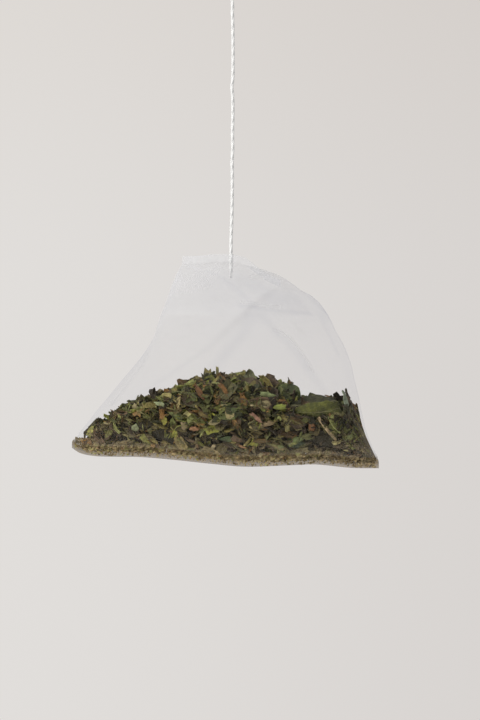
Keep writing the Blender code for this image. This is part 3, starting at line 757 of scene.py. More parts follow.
def sheet_places(turn, level, lap, beyond_top, beyond_bottom, values):
    """The sheet's places: wrinkled along the wall, puckered at the welds and flat beyond them."""
    off_weld = np.minimum(level, 1 - level)
    pinch = np.clip(off_weld / PINCH_SHARE, 0, 1)
    inset = GAUZE_WALL * 0.5 - np.where(lap, LAP_RISE, 0)
    inset = np.where(pinch < 1, GAUZE_WALL * (0.9 - 0.4 * pinch), inset)
    places = bag_places(turn, level, inset)
    outward = places - np.array((places[:, 0].mean(), 0, 0))
    outward[:, 2] = 0
    outward /= np.maximum(np.linalg.norm(outward, axis=1, keepdims=True), 1e-6)
    angle = 2 * math.pi * turn
    wave = np.array([
        noise.noise(Vector((2.2 * math.cos(a), 2.2 * math.sin(a), 5.0 * l)))
        + 0.5 * noise.noise(Vector((6 * math.cos(a), 6 * math.sin(a), 11.0 * l + 4)))
        for a, l in zip(angle, level)
    ])
    free = np.clip(off_weld / SMOOTH_SHARE, 0, 1)
    places = places + outward * (wave * values.wrinkle * free)[:, None]
    # Small puckers that run into the top weld, which is along Y, and into the bottom one, along X
    welds = ((1 - level, beyond_top, 1, 0.0011, 0.004), (level, beyond_bottom, 0, 0.0012, 0.005))
    for off, beyond, axis, pitch, drift in welds:
        near = np.exp(-(off / PUCKER_REACH)) * (1 - np.clip(beyond * 2, 0, 1))
        along = places[:, axis]
        ripple = np.sin(along / pitch + 3 * np.sin(along / drift))
        places[:, 1 - axis] += ripple * near * PUCKER
    # The welded strips beyond the two folds, and the room that the thread takes in the top one
    places[:, 2] += beyond_top * TOP_SEAM_WIDTH - beyond_bottom * BOTTOM_SEAM_WIDTH
    spread = THREAD_ROOM * hump(places[:, 1], 0, THREAD_ROOM_WIDTH)
    places[:, 0] += np.where(level >= 0.985, np.sign(-np.cos(angle)) * spread, 0)
    return places


def cloth_looks(places, turn, level, lap, beyond_top, beyond_bottom):
    """How close, bright and dusty the cloth looks, with painted shade along its folds and painted
    highlights.
    """
    # Ridges, the crease and the lap hold more cloth along the line of sight; the darker crease and
    # the band above it are partly painted shade
    ridge = hump(np.abs((turn * 4) % 1 - 0.5), 0, RIDGE_WIDTH)
    ridge = ridge * np.where(turn < 0.5, RIDGE_FRONT, RIDGE_BACK)
    crease = hump(level, CREASE_LEVEL, 0.010) * hump(turn, 0.45, 0.09)
    above = np.clip((level - CREASE_LEVEL) / 0.02, 0, 1) * np.clip((0.97 - level) / 0.05, 0, 1)
    close_and_shade = ridge + CREASE_CLOSE * crease + UPPER_CLOSE * above + LAP_CLOSE * lap
    close_and_shade = close_and_shade + STRIP_CLOSE * (beyond_top > 0)
    # Painted highlights where the puckers and the top weld catch the light, most of all in front
    front = np.clip(0.35 - 60 * places[:, 1], 0.15, 1)
    streaks = 0.65 + 0.35 * np.sin(places[:, 1] / 0.00042)
    bright = beyond_top**0.3 * 0.35 * front
    bright = bright + 0.6 * front * np.exp(-((1 - level) / 0.09)) * streaks
    # Painted highlight: the empty upper part is whiter and less close, most of all toward the left,
    # where the light comes from
    empty = np.clip((level - 0.48) / 0.40, 0, 1)
    left = np.clip(0.6 - places[:, 0] / (0.35 * SEAM_LENGTH), 0, 1)
    bright, close_and_shade = bright + empty * (0.22 + 0.75 * left), close_and_shade - 0.11 * empty * left
    for points, width, closer, brighter in FOLD_SHADE_AND_HIGHLIGHTS:
        near = near_line(points, turn, level, width)
        close_and_shade, bright = close_and_shade + near * closer, bright + near * brighter
    close_and_shade = close_and_shade + WELD_EDGE_CLOSE * (beyond_bottom > 0.85)
    dust = hump(level, 0, 0.022) + 0.12 * hump(level, 0, 0.09)
    dust = dust * (1 - 0.45 * beyond_bottom)
    shown = {"closeness_and_shade": (close_and_shade, -0.12), "painted_highlight": (bright, 0), "dust": (dust, 0)}
    return {name: np.clip(numbers, least, 1) for name, (numbers, least) in shown.items()}


# Base colours of the dried leaf, by kind
LEAF_KINDS = {
    "green": (
        (84, 86, 38), (66, 70, 31), (104, 106, 49), (136, 138, 80), (108, 108, 39), (54, 58, 28),
    ),
    "olive": (
        (104, 94, 49), (86, 78, 39), (132, 120, 67), (66, 58, 31), (158, 150, 93), (98, 90, 52),
    ),
    "brown": ((86, 66, 38), (64, 48, 30), (132, 96, 48), (74, 58, 41), (110, 84, 46), (54, 42, 26)),
    "crumb": ((142, 130, 88), (112, 100, 64), (88, 80, 48), (182, 168, 122), (150, 130, 84)),
}
# Which of a kind's colours its worn patches fade to, and the slot it belongs to
FADED = 3
# How many of a hundred scraps, and of a hundred crumbs, are of each kind
LEAF_SHARES = (("green", "olive", "brown", "crumb"), (35, 32, 26, 7))
CRUMB_SHARES = (("crumb", "olive", "brown", "green"), (46, 28, 14, 12))
# Painted side light: how much lighter or darker the leaf's colours are made, from the left, where the
# light comes from, to the right: millimetres, share
PAINTED_SIDE_LIGHT = ((-28, 1.24), (-8, 1.10), (6, 1.02), (18, 0.67), (30, 0.62))
STRONGEST = 0.36
DUST = (168, 146, 112)
VEIN = (158, 150, 106)
PAINTED_GAP_SHADE = (34, 29, 20)
# How the leaf lies: its slope to the front and back, its lowest and highest places as shares of
# the bag's height, its top below the thread's exit and its depth, the rise of a face's normal
# that tells the gauze from the top, and the share of the scraps at the gauze
LEAF_SLOPE = 0.24
SCRAP_LOWEST, CRUMB_LOWEST, LEAF_HIGHEST = 0.012, 0.002, 0.46
LEAF_TOP_DROP = 0.025
LEAF_DEPTH = 0.018
STEEP = 0.45
WALL_SHARE = 0.64
# How many forms the scraps take, at how many points a piece is large enough to be patchy, and
# the forms, number and lengths of the scraps on a loose leaf
SCRAP_FORMS = 56
PATCHY_POINTS = 80
STREWN_FORMS, STREWN_SCRAPS, STREWN_LENGTHS = 4, 9, (0.0014, 0.0034)
# How many places are tried for each one taken
TRIES_A_PLACE = 9
# Room between the gauze's inner face and the leaf as a whole, its scraps and its placed pieces
ROOM_GAP, SCRAP_GAP, PIECE_GAP = 0.00012, 0.00015, 0.00014
# How the leaf keeps off the side ridges at the foot, and how much further out it may lie from a
# level on, then its room above the lower fold, to the front and back, and off the inner face
SIDE_ROOM, SIDE_GIVE, SIDE_LEVEL = 0.0006, 0.003, 0.1
FOLD_ROOM, DEPTH_GIVE, FACE_ROOM = 0.0001, 0.0025, 2e-5
# Where the outermost scraps lie and how far others sink, at the gauze and on top, and how much
# deeper the crumbs lie
WALL_LIFT, TOP_LIFT = -0.0003, 0.0005
WALL_SINK, TOP_SINK, CRUMB_SINK = 0.0016, 0.0014, 0.0004
# Lengths of crumbs, of specks above the lower fold and in the weld, and of the low filling
CRUMB_LENGTHS = (0.0004, 0.0012)
SPECK_LENGTHS = (0.0003, 0.0011)
WELD_SPECK_LENGTHS = (0.0002, 0.0005)
FILLING_LENGTHS = (0.0022, 0.0034)
FLAT_SPECK = 0.0002
FLAT_FILLING = 0.0006
# Thickness of the pieces at the gauze and of the stem
PIECE_THICKNESS = 0.00014
STEM_THICKNESS = 0.00045
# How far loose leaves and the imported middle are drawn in, the middle above and near the foot
LEAF_INSET = 0.00011
MIDDLE_INSET = 0.0005
FOOT_INSET = 0.00005
FOOT_DEPTH = 0.007
# How brightness varies: the middle and spread of its logarithm, and its least and most
SCRAP_SHINE = (-0.13, 0.70, 0.16, 3.0)
BROWN_SHINE = (-0.13, 0.70, 0.16, 1.9)
STREWN_SHINE = (-0.05, 0.5, 0.25, 2.2)
# How far from the foot the leaf looks light and dusty, how much lighter it is there at the
# thread, over what width that falls by one to the right, the most that it is, and how dusty
DUSTY_HEIGHT = 0.0055
FOOT_LIGHT, FOOT_LIGHT_WIDTH, FOOT_LIGHTEST = 0.70, 0.035, 1.1
DUSTINESS = (0.1, 0.75)
# The shares of the foot's width that specks and the low filling take
SPECK_REACH = 0.98
FILLING_REACH = 0.94
# Pieces that stand out against the gauze: share of a turn, share of the height, millimetres long
# and wide, degrees that it rises to the right, kind, colour, and how far it curls
WALL_LEAVES = (
    (0.345, 0.236, 10.4, 4.2, 9, "green", (76, 78, 28), 1.2),
    (0.156, 0.022, 3.2, 1.5, 20, "brown", (168, 122, 50), 0.6),
    (0.288, 0.208, 3.2, 1.2, -50, "brown", (176, 132, 108), 1.6),
    (0.297, 0.182, 3.0, 1.6, 15, "olive", (150, 128, 92), 1.4),
    (0.184, 0.122, 2.2, 1.6, 60, "green", (154, 160, 118), 0.5),
    (0.258, 0.102, 3.6, 1.4, 5, "green", (74, 88, 52), 0.8),
    (0.283, 0.094, 3.4, 1.4, -5, "olive", (112, 88, 46), 1.0),
    (0.307, 0.082, 3.8, 2.4, 40, "green", (112, 122, 72), 1.2),
    (0.279, 0.299, 2.6, 1.6, -80, "brown", (136, 98, 44), 0.9),
    (0.258, 0.355, 3.2, 1.2, -65, "brown", (134, 94, 50), 1.1),
    (0.312, 0.263, 2.6, 1.3, 0, "green", (128, 136, 58), 1.0),
    (0.196, 0.257, 2.8, 1.2, -5, "green", (150, 158, 116), 1.0),
    (0.221, 0.028, 3.0, 0.8, 15, "crumb", (188, 166, 116), 0.6),
    (0.266, 0.068, 2.4, 0.7, -30, "crumb", (176, 134, 92), 0.7),
    (0.307, 0.066, 3.0, 1.2, 25, "green", (48, 60, 40), 0.9),
    (0.223, 0.150, 2.2, 1.5, 80, "olive", (150, 132, 96), 1.0),
    (0.478, 0.311, 3.6, 2.2, 78, "green", (138, 148, 122), 0.7),
    (0.205, 0.170, 2.2, 1.1, 70, "green", (170, 164, 70), 0.6),
    (0.227, 0.185, 2.6, 1.2, 55, "green", (146, 150, 86), 0.8),
    (0.232, 0.142, 1.9, 1.3, 10, "brown", (168, 122, 84), 0.7),
    (0.240, 0.215, 2.6, 1.6, -20, "olive", (112, 96, 52), 0.7),
    (0.212, 0.205, 3.0, 1.1, -35, "green", (104, 112, 66), 1.4),
    (0.305, 0.330, 3.0, 1.2, -12, "green", (122, 132, 84), 1.1),
    (0.330, 0.160, 2.6, 1.6, 80, "brown", (120, 82, 48), 0.9),
    (0.268, 0.245, 2.8, 1.7, 75, "green", (84, 94, 54), 0.8),
    (0.352, 0.115, 2.4, 1.5, 45, "green", (82, 92, 62), 0.9),
    (0.245, 0.052, 2.0, 0.7, 60, "crumb", (196, 176, 132), 0.6),
    (0.292, 0.056, 2.2, 1.2, 10, "green", (132, 138, 92), 0.8),
    (0.232, 0.330, 3.4, 1.2, -70, "brown", (112, 76, 46), 1.2),
    (0.258, 0.280, 3.4, 1.5, -15, "green", (66, 76, 42), 1.0),
)
STEM = (0.341, 0.152, 6.3, 0.72, -60, "crumb", (190, 166, 124), 0.0)
# Colours of the loose pieces that stand out on top, by their node's number, and which of them
# have scraps on them
LOOSE_TONES = {
    1: (54, 54, 34), 2: (112, 112, 80), 3: (74, 58, 42), 4: (66, 74, 36), 5: (132, 136, 104),
    6: (98, 94, 74), 7: (108, 108, 78), 8: (94, 96, 46), 9: (60, 64, 40), 10: (96, 88, 52),
    11: (96, 74, 56), 12: (96, 82, 64), 13: (116, 118, 72), 14: (120, 92, 52), 15: (124, 92, 54),
    16: (118, 116, 58), 17: (138, 140, 92), 38: (96, 86, 54),
}
STREWN_TONES = (1, 38)


def leaf_material(name, faded, rough):
    """Dried leaf: the piece's own colour, mottled, with a paler midrib and side veins."""
    material, finish = new_material(name)
    own = finish.add("Attribute", attribute_name="leaf_colour").outputs["Color"]
    place = finish.add("TexCoord").outputs["Object"]
    mottle = finish.grain(place, 1100.0, 5.0, 0.65)
    strength = finish.maths("MULTIPLY_ADD", mottle, 3.0, -0.5)
    strength = finish.maths("MAXIMUM", strength, 0.25)
    shade = finish.mixed(1.0, own, strength, "MULTIPLY")
    worn = finish.eased(finish.grain(place, 420.0, 3.0), 0.52, 0.72, 0.5)
    colour = finish.mixed(worn, shade, linear(faded))
    blade = finish.add("SeparateXYZ", finish.add("UVMap", uv_map="blade")).outputs
    off = finish.maths("ABSOLUTE", finish.maths("SUBTRACT", blade["Y"], 0.5))
    midrib = finish.maths("MULTIPLY", off, 20.0, clamp=True)
    slant = finish.maths("MULTIPLY_ADD", off, -1.1, blade["X"])
    wave = finish.maths("SINE", finish.maths("MULTIPLY", slant, 34.0))
    wave = finish.maths("POWER", finish.maths("ABSOLUTE", wave), 0.4)
    wave = finish.maths("MULTIPLY_ADD", wave, 0.35, 0.65)
    vein = finish.maths("MULTIPLY", midrib, wave)
    keep = finish.maths("MULTIPLY_ADD", vein, 0.40, 0.60, clamp=True)
    colour = finish.mixed(keep, linear(VEIN), colour)
    height = finish.maths("MULTIPLY_ADD", vein, 0.5, mottle)
    bump = finish.add("Bump", Height=height, Strength=0.9, Distance=0.00022)
    surface = finish.add(
        "BsdfPrincipled", Base_Color=colour, Normal=bump, Roughness=rough, Specular_IOR_Level=0.35
    )
    finish.add("OutputMaterial", surface)
    return material


def shaped_scrap(rng, cuts, thick, wide, pointed, curl, bend=0.0, twist=0.0, fold=0.0, ragged=0.08):
    """One curled, torn piece of leaf, a unit long, by shaping a grid and giving it a thickness."""
    bm = bmesh.new()
    bm.loops.layers.uv.new("blade")
    bmesh.ops.create_grid(bm, x_segments=cuts[0], y_segments=cuts[1], size=0.5, calc_uvs=True)
    belly = rng.uniform(-0.2, 0.2)
    for vert in bm.verts:
        x, y = vert.co.x, vert.co.y
        end = min(abs(x - belly) / (0.5 + abs(belly)), 1.0)
        half = wide * ((1 - end**2) ** 0.8 if pointed else 1 - 0.4 * end**2)
        rim = ragged * rng.uniform(-1, 1)
        x += rim
        y = y * half + ragged * wide * rng.uniform(-1, 1)
        angle = y * curl * 2
        z = (1 - math.cos(angle)) / (2 * curl) if abs(curl) > 0.1 else 0
        y = math.sin(angle) / (2 * curl) if abs(curl) > 0.1 else y
        z += fold * abs(y) + bend * x * x + 0.5 * ragged * rng.uniform(-1, 1) * wide
        c, s = math.cos(twist * x), math.sin(twist * x)
        vert.co = (x, y * c - z * s, y * s + z * c)
    bmesh.ops.solidify(bm, geom=bm.faces[:], thickness=thick)
    bmesh.ops.recalc_face_normals(bm, faces=bm.faces)
    soften(bm)
    mesh = as_mesh(bm, "scrap")
    mesh.attributes.new("leaf_colour", "FLOAT_COLOR", "POINT")
    return mesh


def soften(bm):
    """Smooth faces with sharp edges where they meet at more than about 50 degrees."""
    for face in bm.faces:
        face.smooth = True
    for edge in bm.edges:
        edge.smooth = edge.calc_face_angle(0) < 0.87


def small_scrap(rng):
    """A scrap of one of the forms that crushed leaf breaks into."""
    form = rng.choices(("torn", "blade", "rolled", "stick"), (34, 32, 24, 10))[0]
    if form == "torn":
        return shaped_scrap(
            rng, (3, 2), 0.05, rng.uniform(0.5, 0.85), False, rng.uniform(-1.6, 1.6),
            bend=rng.uniform(-0.8, 0.8), twist=rng.uniform(-0.8, 0.8), fold=rng.uniform(0, 0.6),
        )
    if form == "blade":
        return shaped_scrap(
            rng, (4, 2), 0.045, rng.uniform(0.35, 0.6), True, rng.uniform(-2.4, 2.4),
            bend=rng.uniform(-1.0, 1.0), twist=rng.uniform(-1.2, 1.2), fold=rng.uniform(0, 0.9),
            ragged=0.05,
        )
    if form == "rolled":
        return shaped_scrap(
            rng, (3, 3), 0.04, rng.uniform(0.45, 0.7), rng.random() < 0.5,
            rng.choice((-1, 1)) * rng.uniform(3, 5.5),
            bend=rng.uniform(-0.9, 0.9), twist=rng.uniform(-1.0, 1.0), ragged=0.05,
        )
    return shaped_scrap(
        rng, (4, 1), 0.09, rng.uniform(0.08, 0.16), False, 0.0,
        bend=rng.uniform(-0.7, 0.7), twist=rng.uniform(-2, 2), ragged=0.02,
    )


def merged_copy(node):
    """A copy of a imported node's mesh with its loose triangles joined."""
    bm = bmesh.new()
    bm.from_mesh(frame["nodes"][node].data)
    bmesh.ops.remove_doubles(bm, verts=bm.verts, dist=1e-6)
    bmesh.ops.recalc_face_normals(bm, faces=bm.faces)
    bm.normal_update()
    return bm


def weathered_leaf(node, rng, colour):
    """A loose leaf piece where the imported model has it, with a finer, torn and crinkled shape."""
    bm = merged_copy(node)
    bmesh.ops.subdivide_edges(bm, edges=bm.edges[:], cuts=2, use_grid_fill=True, smooth=0.4)
    bm.normal_update()
    places = np.array([v.co for v in bm.verts])
    middle = places.mean(axis=0)
    axes = np.linalg.svd(places - middle, full_matrices=False)[2]
    shares = (places - middle) @ axes.T
    shares = (shares - shares.min(axis=0)) / np.maximum(np.ptp(shares, axis=0), 1e-6)
    seed = Vector((rng.uniform(0, 9), rng.uniform(0, 9), rng.uniform(0, 9)))
    across, away = Vector(axes[1]), Vector(axes[2])
    tone = bm.verts.layers.float_color.new("leaf_colour")
    for vert, share in zip(bm.verts, shares):
        rim = abs(share[1] - 0.5) * 2
        along = share[0] * 7
        patch = noise.noise(vert.co * 520 + seed)
        vert[tone] = [c * (0.55 + 0.9 * patch + 0.4) for c in colour] + [1]
        crinkle = noise.noise(vert.co * 650 + seed) * 0.00045
        crinkle += noise.noise(vert.co * 1900 + seed) * 0.00016
        torn = noise.noise(Vector((along * 1.7, rim * 0.4, seed.x + (share[1] > 0.5) * 5)))
        torn *= 0.0011 * rim**2
        torn = math.copysign(torn, share[1] - 0.5)
        vert.co += away * crinkle + across * torn - vert.normal * LEAF_INSET
    blade = bm.loops.layers.uv.new("blade")
    for face in bm.faces:
        for loop in face.loops:
            loop[blade].uv = shares[loop.vert.index][:2]
    soften(bm)
    return as_mesh(bm, "loose_leaf")


def room_tree(inset):
    """The inner face of the gauze, to keep the leaf inside it."""
    bm = bmesh.new()
    bmesh.ops.create_grid(bm, x_segments=160, y_segments=80, size=0.5)
    flat = np.array([v.co for v in bm.verts])
    places = bag_places(flat[:, 0] + 0.5, np.clip(flat[:, 1] + 0.5, 0.001, 0.999), inset)
    for vert, place in zip(bm.verts, places):
        vert.co = place
    bm.normal_update()
    middle = Vector((0, 0, SEAM_FOOT_Z - BAG_HEIGHT / 2))
    outwards = sum((face.calc_center_median() - middle).dot(face.normal) for face in bm.faces)
    if outwards < 0:
        bmesh.ops.reverse_faces(bm, faces=bm.faces)
    tree = BVHTree.FromBMesh(bm)
    bm.free()
    return tree


def kept_inside(tree, places):
    """The same places, with any that are past the gauze moved just inside it."""
    kept = places.copy()
    half = SEAM_LENGTH / 2
    foot = foot_height(kept[:, 0])
    level = np.clip((kept[:, 2] - foot) / (SEAM_FOOT_Z - foot), 0, 1)
    reach = half * (1 - level) + mapped(FULLNESS, level) * MM
    reach = reach - SIDE_ROOM + SIDE_GIVE * np.clip(level / SIDE_LEVEL, 0, 1)
    shift = mapped(CENTRE_SHIFT, level) * MM
    kept[:, 0] = np.clip(kept[:, 0], shift - reach, shift + reach)
    kept[:, 2] = np.maximum(kept[:, 2], foot_height(kept[:, 0]) + FOLD_ROOM)
    thick = half * level + DEPTH_GIVE
    kept[:, 1] = np.clip(kept[:, 1], -thick, thick)
    for i, place in enumerate(kept):
        near, normal, _, _ = tree.find_nearest(place)
        if (Vector(place) - near).dot(normal) > -FACE_ROOM:
            kept[i] = near - normal * FACE_ROOM
    return kept


def heap_height(x, y):
    """How high the leaf lies at a place seen from above."""
    rough = 0.0006 * noise.noise(Vector((x, y, 0.0)) * 420)
    return EXIT_Z - float(mapped(LEAF_LEVEL, x / MM)) * MM - LEAF_SLOPE * abs(y) + rough


def foot_height(x):
    """The height of the bag's lower fold."""
    curve = mapped(BOTTOM_CURVE, 2 * x / SEAM_LENGTH) * MM
    return SEAM_FOOT_Z - BAG_HEIGHT + TOP_SEAM_WIDTH + BOTTOM_SEAM_WIDTH + curve


def spread_places(tree, count, rng, lowest):
    """Random places all over the leaf, at the gauze and on top, each with its outward normal."""
    tries = range(TRIES_A_PLACE * count)
    share = np.array([(rng.random(), rng.uniform(lowest, LEAF_HIGHEST)) for _ in tries])
    walls = bag_places(share[:, 0], share[:, 1], GAUZE_WALL + SCRAP_GAP)
    found = []
    for place in walls:
        place = Vector(place)
        if place.z < heap_height(place.x, place.y):
            found.append(tree.find_nearest(place)[:2])
    rng.shuffle(found)
    found = found[: round(count * WALL_SHARE)]
    while len(found) < count:
        x, y = rng.uniform(-0.034, 0.033), rng.uniform(-0.017, 0.017)
        place = Vector((x, y, heap_height(x, y)))
        near, normal, _, _ = tree.find_nearest(place)
        if (place - near).dot(normal) < 0:
            found.append((place, Vector((0, math.copysign(LEAF_SLOPE, y), 1)).normalized()))
    return found


def facing(normal, rng, tilt):
    """A random turn that lays a scrap roughly along a surface."""
    lean = Vector([rng.gauss(0, tilt) for _ in range(3)])
    up = (normal + lean).normalized()
    side = up.orthogonal().normalized()
    side.rotate(Matrix.Rotation(rng.uniform(0, 2 * math.pi), 3, up))
    return Matrix((side, up.cross(side), up)).transposed()


def wall_turn(turn, level, rise):
    """A place on the gauze's inner face, and the turn that lays a piece flat against it."""
    step = 0.002
    turns, levels = np.array((turn, turn + step, turn)), np.array((level, level, level + step))
    places = bag_places(turns, levels, GAUZE_WALL + PIECE_GAP)
    right = Vector(places[1] - places[0]).normalized()
    out = right.cross(Vector(places[2] - places[0])).normalized()
    along = right * math.cos(rise) + out.cross(right) * math.sin(rise)
    return Vector(places[0]), Matrix((along, out.cross(along), out)).transposed()


def random_shine(rng, middle, spread, least, most):
    """How bright a scrap happens to be."""
    return min(max(math.exp(rng.gauss(middle, spread)), least), most)


def leaf_tone(colour, place, shine, rng):
    """A leaf colour as it is at a place: lighter toward the left and darker toward the right as
    painted side light, and lighter and dusty near the bag's foot.
    """
    tone = np.array(linear(colour)[:3]) * shine * float(mapped(PAINTED_SIDE_LIGHT, place.x / MM))
    above = place.z - foot_height(place.x)
    low = min(max(1 - above / DUSTY_HEIGHT, 0), 1)
    tone = tone * (1 + low * min(max(FOOT_LIGHT - place.x / FOOT_LIGHT_WIDTH, 0), FOOT_LIGHTEST))
    tone = tone * min(STRONGEST / max(tone.max(), 1e-6), 1)
    dusty = low * rng.uniform(*DUSTINESS)
    return tone + (np.array(linear(DUST)[:3]) - tone) * dusty


def put_scrap(bm, template, place, turn, size, tone, tree):
    """Adds one scrap to its group, inside the gauze and in its own colour."""
    count = len(template.vertices)
    if "unit" not in template:
        rest = np.empty(count * 3, np.float32)
        template.vertices.foreach_get("co", rest)
        template["unit"] = rest
    rest = np.array(template["unit"], float).reshape(-1, 3)
    places = (rest * np.array(size)) @ np.array(turn).T + np.array(place)
    if tree:
        places = kept_inside(tree, places)
    template.vertices.foreach_set("co", places.astype(np.float32).ravel())
    shades = np.ones((count, 4), np.float32)
    if count > PATCHY_POINTS:
        patches = [0.9 + 0.9 * noise.noise(Vector(at) * 520) for at in places]
        tone = np.outer(patches, tone)
    shades[:, :3] = np.clip(tone, 0, 1)
    template.attributes["leaf_colour"].data.foreach_set("color", shades.ravel())
    bm.from_mesh(template, face_normals=False, vertex_normals=False)


def put_small_scraps(groups, tree, values, rng):
    """Fills the bag with scraps, and then with crumbs that lie lowest."""
    templates = [small_scrap(rng) for _ in range(SCRAP_FORMS)]
    found = spread_places(tree, values.scraps, rng, SCRAP_LOWEST)
    crumbs = spread_places(tree, values.crumbs, rng, CRUMB_LOWEST)
    top = EXIT_Z - LEAF_TOP_DROP
    for i, (place, normal) in enumerate(found + crumbs):
        depth = (top - place.z) / LEAF_DEPTH
        upright = normal.z < STEEP
        crumb = i >= len(found)
        if crumb:
            length = rng.uniform(*CRUMB_LENGTHS)
            kind = rng.choices(*CRUMB_SHARES)[0]
        else:
            # Small scraps are the most common, and more so low in the heap
            share = rng.random() ** 1.35 * max(1.15 - 0.5 * depth, 0.35)
            length = values.smallest + (values.largest - values.smallest) * share
            kind = rng.choices(*LEAF_SHARES)[0]
        sunk = rng.random() ** 1.3 * (WALL_SINK if upright else TOP_SINK)
        sunk += CRUMB_SINK if crumb else 0
        lift = (WALL_LIFT if upright else TOP_LIFT) - sunk
        # The deeper a scrap lies, the less light reaches it
        shine = random_shine(rng, *(BROWN_SHINE if kind == "brown" else SCRAP_SHINE))
        shine *= 1.08 - 380 * sunk
        tone = leaf_tone(rng.choice(LEAF_KINDS[kind]), place, shine, rng)
        size = (length, length * rng.uniform(0.7, 1.1), length)
        turn = facing(normal, rng, 0.45 if upright else 0.75)
        place = place + normal * lift
        put_scrap(groups[kind], rng.choice(templates), place, turn, size, tone, tree)


def strew_scraps(groups, leaf, tree, rng):
    """Lays a few small scraps on a loose leaf, flat against its faces."""
    templates = [small_scrap(rng) for _ in range(STREWN_FORMS)]
    for _ in range(STREWN_SCRAPS):
        face = leaf.polygons[rng.randrange(len(leaf.polygons))]
        length = rng.uniform(*STREWN_LENGTHS)
        kind = rng.choices(*LEAF_SHARES)[0]
        shine = random_shine(rng, *STREWN_SHINE)
        tone = leaf_tone(rng.choice(LEAF_KINDS[kind]), face.center, shine, rng)
        place = face.center + face.normal * 0.0001
        scrap, turn = rng.choice(templates), facing(face.normal, rng, 0.35)
        put_scrap(groups[kind], scrap, place, turn, (length, length * 0.8, length), tone, tree)


def put_foot_crumbs(groups, values, rng):
    """Strews fine crumbs and specks between the two sheets, right down into the bottom weld."""
    templates = [
        shaped_scrap(rng, (2, 2), 0.12, rng.uniform(0.4, 0.9), False, 0.5) for _ in range(8)
    ]
    for _ in range(values.specks):
        share = rng.uniform(-SPECK_REACH, SPECK_REACH)
        x = share * SEAM_LENGTH / 2
        rise = rng.uniform(-0.0004, 0.0012) if rng.random() < 0.80 else rng.uniform(-0.0011, 0)
        rise = max(rise - 0.0008 * max(abs(share) - 0.8, 0) / 0.2, -0.0010)
        level = max(rise, 0) / BAG_HEIGHT
        side = rng.choice((-1, 1))
        x = x * (1 - 1.5 * level) + float(mapped(CENTRE_SHIFT, level)) * MM
        place = Vector((x, side * (SEAM_LENGTH / 2 * level + 0.00005), foot_height(x) + rise))
        length = rng.uniform(*(SPECK_LENGTHS if rise > 0 else WELD_SPECK_LENGTHS))
        kind = rng.choices(*CRUMB_SHARES)[0]
        tone = leaf_tone(rng.choice(LEAF_KINDS[kind]), place, rng.uniform(0.5, 1.7), rng)
        turn = facing(Vector((0, side, 0)), rng, 0.12)
        size = (length, length, FLAT_SPECK)
        put_scrap(groups[kind], rng.choice(templates), place, turn, size, tone, None)


def put_low_filling(groups, tree, values, rng):
    """Packs darker leaf between the two sheets just above the foot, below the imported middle."""
    templates = [small_scrap(rng) for _ in range(10)]
    for i in range(values.filling):
        x = (2 * (i + rng.random()) / values.filling - 1) * FILLING_REACH * SEAM_LENGTH / 2
        y, rise = rng.uniform(-0.0003, 0.0003), rng.uniform(0.0014, 0.0056)
        place = Vector((x, y, foot_height(x) + rise))
        length = rng.uniform(*FILLING_LENGTHS)
        kind = rng.choices(*LEAF_SHARES)[0]
        tone = np.array(linear(rng.choice(LEAF_KINDS[kind]))[:3]) * rng.uniform(0.3, 0.8)
        turn = facing(Vector((0, rng.choice((-1, 1)), 0)), rng, 0.2)
        size = (length, length, FLAT_FILLING)
        put_scrap(groups[kind], rng.choice(templates), place, turn, size, tone, tree)


def put_wall_leaves(groups, tree, rng):
    """Lays the larger pieces that show against the gauze."""
    for turn, level, length, width, rise, kind, colour, curl in WALL_LEAVES + (STEM,):
        place, basis = wall_turn(turn, level, math.radians(rise))
        length, width = length * MM, width * MM
        stem = curl == 0
        large = length > 0.006
        thickness = STEM_THICKNESS if stem else PIECE_THICKNESS
        template = shaped_scrap(
            rng, (10, 5) if large else (6, 3), thickness / length, width / length, not stem, -curl,
            bend=-0.12 if stem else rng.uniform(-0.35, 0), fold=0 if stem else rng.uniform(-0.3, 0),
            ragged=0.012 if stem else 0.045 if large else 0.09,
        )
        tone = np.array(linear(colour)[:3])
        put_scrap(groups[kind], template, place, basis, (length, length, length), tone, tree)


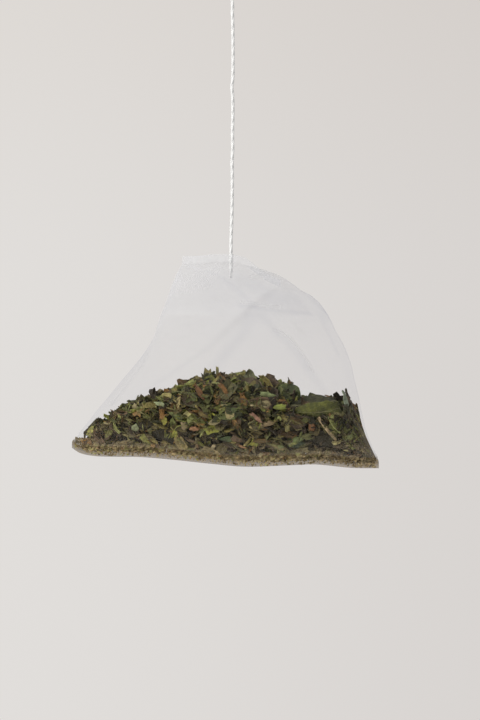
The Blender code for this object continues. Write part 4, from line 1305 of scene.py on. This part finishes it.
class TEABAG_OT_fill_leaf(bpy.types.Operator):
    """Fill the bag with torn scraps and crumbs of dried leaf"""

    bl_idname = "teabag.fill_leaf"
    bl_label = "Fill with leaf"

    def execute(self, context):
        values = context.scene.tea_bag_leaf
        rng = random.Random(values.seed)
        tree = room_tree(GAUZE_WALL + ROOM_GAP)
        groups = {kind: bmesh.new() for kind in LEAF_KINDS}
        stands_for = {kind: [] for kind in LEAF_KINDS}
        put_small_scraps(groups, tree, values, rng)
        put_foot_crumbs(groups, values, rng)
        put_low_filling(groups, tree, values, rng)
        put_wall_leaves(groups, tree, rng)
        for row in frame["record"]["subparts"]:
            node = row["node"]
            kind = row["material_slot"].removesuffix("_leaf")
            if not node.startswith("leaf_"):
                continue
            number = int(node[5:])
            shine = 1.0 if number in LOOSE_TONES else math.exp(rng.gauss(0, 0.3))
            tone = np.array(linear(LOOSE_TONES.get(number, rng.choice(LEAF_KINDS[kind])))) * shine
            leaf = weathered_leaf(node, rng, tone[:3])
            groups[kind].from_mesh(leaf)
            stands_for[kind].append(node)
            if number not in LOOSE_TONES or number in STREWN_TONES:
                strew_scraps(groups, leaf, tree, rng)
        for kind, bm in groups.items():
            material = leaf_material(f"dried_leaf_{kind}", LEAF_KINDS[kind][FADED], 0.66)
            piece = add_piece(f"{kind}_scraps", bm, material, smooth=False)
            if stands_for[kind]:
                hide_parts(*stands_for[kind])
        self.pack_middle()
        return {"FINISHED"}

    def pack_middle(self):
        """The packed middle that shows in the gaps between the scraps, coloured near black as painted
        shade.
        """
        core = merged_copy("tea_heap")
        colour = core.verts.layers.float_color.new("leaf_colour")
        for vert in core.verts:
            above = vert.co.z > foot_height(vert.co.x) + FOOT_DEPTH
            vert.co -= vert.normal * (MIDDLE_INSET if above else FOOT_INSET)
            # Painted shade: the middle is coloured nearly black, for the shade in the gaps between
            # the scraps
            vert[colour] = linear(PAINTED_GAP_SHADE)
        # Its worn patches fade to a dark brown, also painted shade
        material = leaf_material("packed_leaf", (46, 38, 26), 0.85)
        heart = add_piece("packed_middle", core, material, smooth=False)
        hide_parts("tea_heap")


class TEABAG_PT_panel(bpy.types.Panel):
    """Settings and steps of the tea bag"""

    bl_idname = "TEABAG_PT_panel"
    bl_label = "Tea Bag"
    bl_space_type = "VIEW_3D"
    bl_region_type = "UI"
    bl_category = "Tea Bag"

    def draw(self, context):
        for group, operator in STEPS:
            box = self.layout.box()
            values = getattr(context.scene, group)
            for name in values.bl_rna.properties.keys():
                if name not in ("rna_type", "name"):
                    box.prop(values, name)
            box.operator(operator)


STEPS = (
    ("tea_bag_stage", "teabag.set_stage"),
    ("tea_bag_thread", "teabag.hang_thread"),
    ("tea_bag_gauze", "teabag.weld_gauze"),
    ("tea_bag_leaf", "teabag.fill_leaf"),
)
GROUPS = (
    ("tea_bag_stage", TeaBagStage),
    ("tea_bag_thread", TeaBagThread),
    ("tea_bag_gauze", TeaBagGauze),
    ("tea_bag_leaf", TeaBagLeaf),
)
CLASSES = (
    TeaBagGauze,
    TeaBagThread,
    TeaBagLeaf,
    TeaBagStage,
    TEABAG_OT_set_stage,
    TEABAG_OT_hang_thread,
    TEABAG_OT_weld_gauze,
    TEABAG_OT_fill_leaf,
    TEABAG_PT_panel,
)


def register():
    """Registers the settings, the steps and the panel."""
    for cls in CLASSES:
        bpy.utils.register_class(cls)
    for name, group in GROUPS:
        setattr(bpy.types.Scene, name, bpy.props.PointerProperty(type=group))


def unregister():
    """Removes what register adds."""
    for name, _ in GROUPS:
        delattr(bpy.types.Scene, name)
    for cls in reversed(CLASSES):
        bpy.utils.unregister_class(cls)


def main():
    """Builds the whole scene."""
    register()
    for _, operator in STEPS:
        group, step = operator.split(".")
        getattr(getattr(bpy.ops, group), step)()


if __name__ == "__main__":
    main()
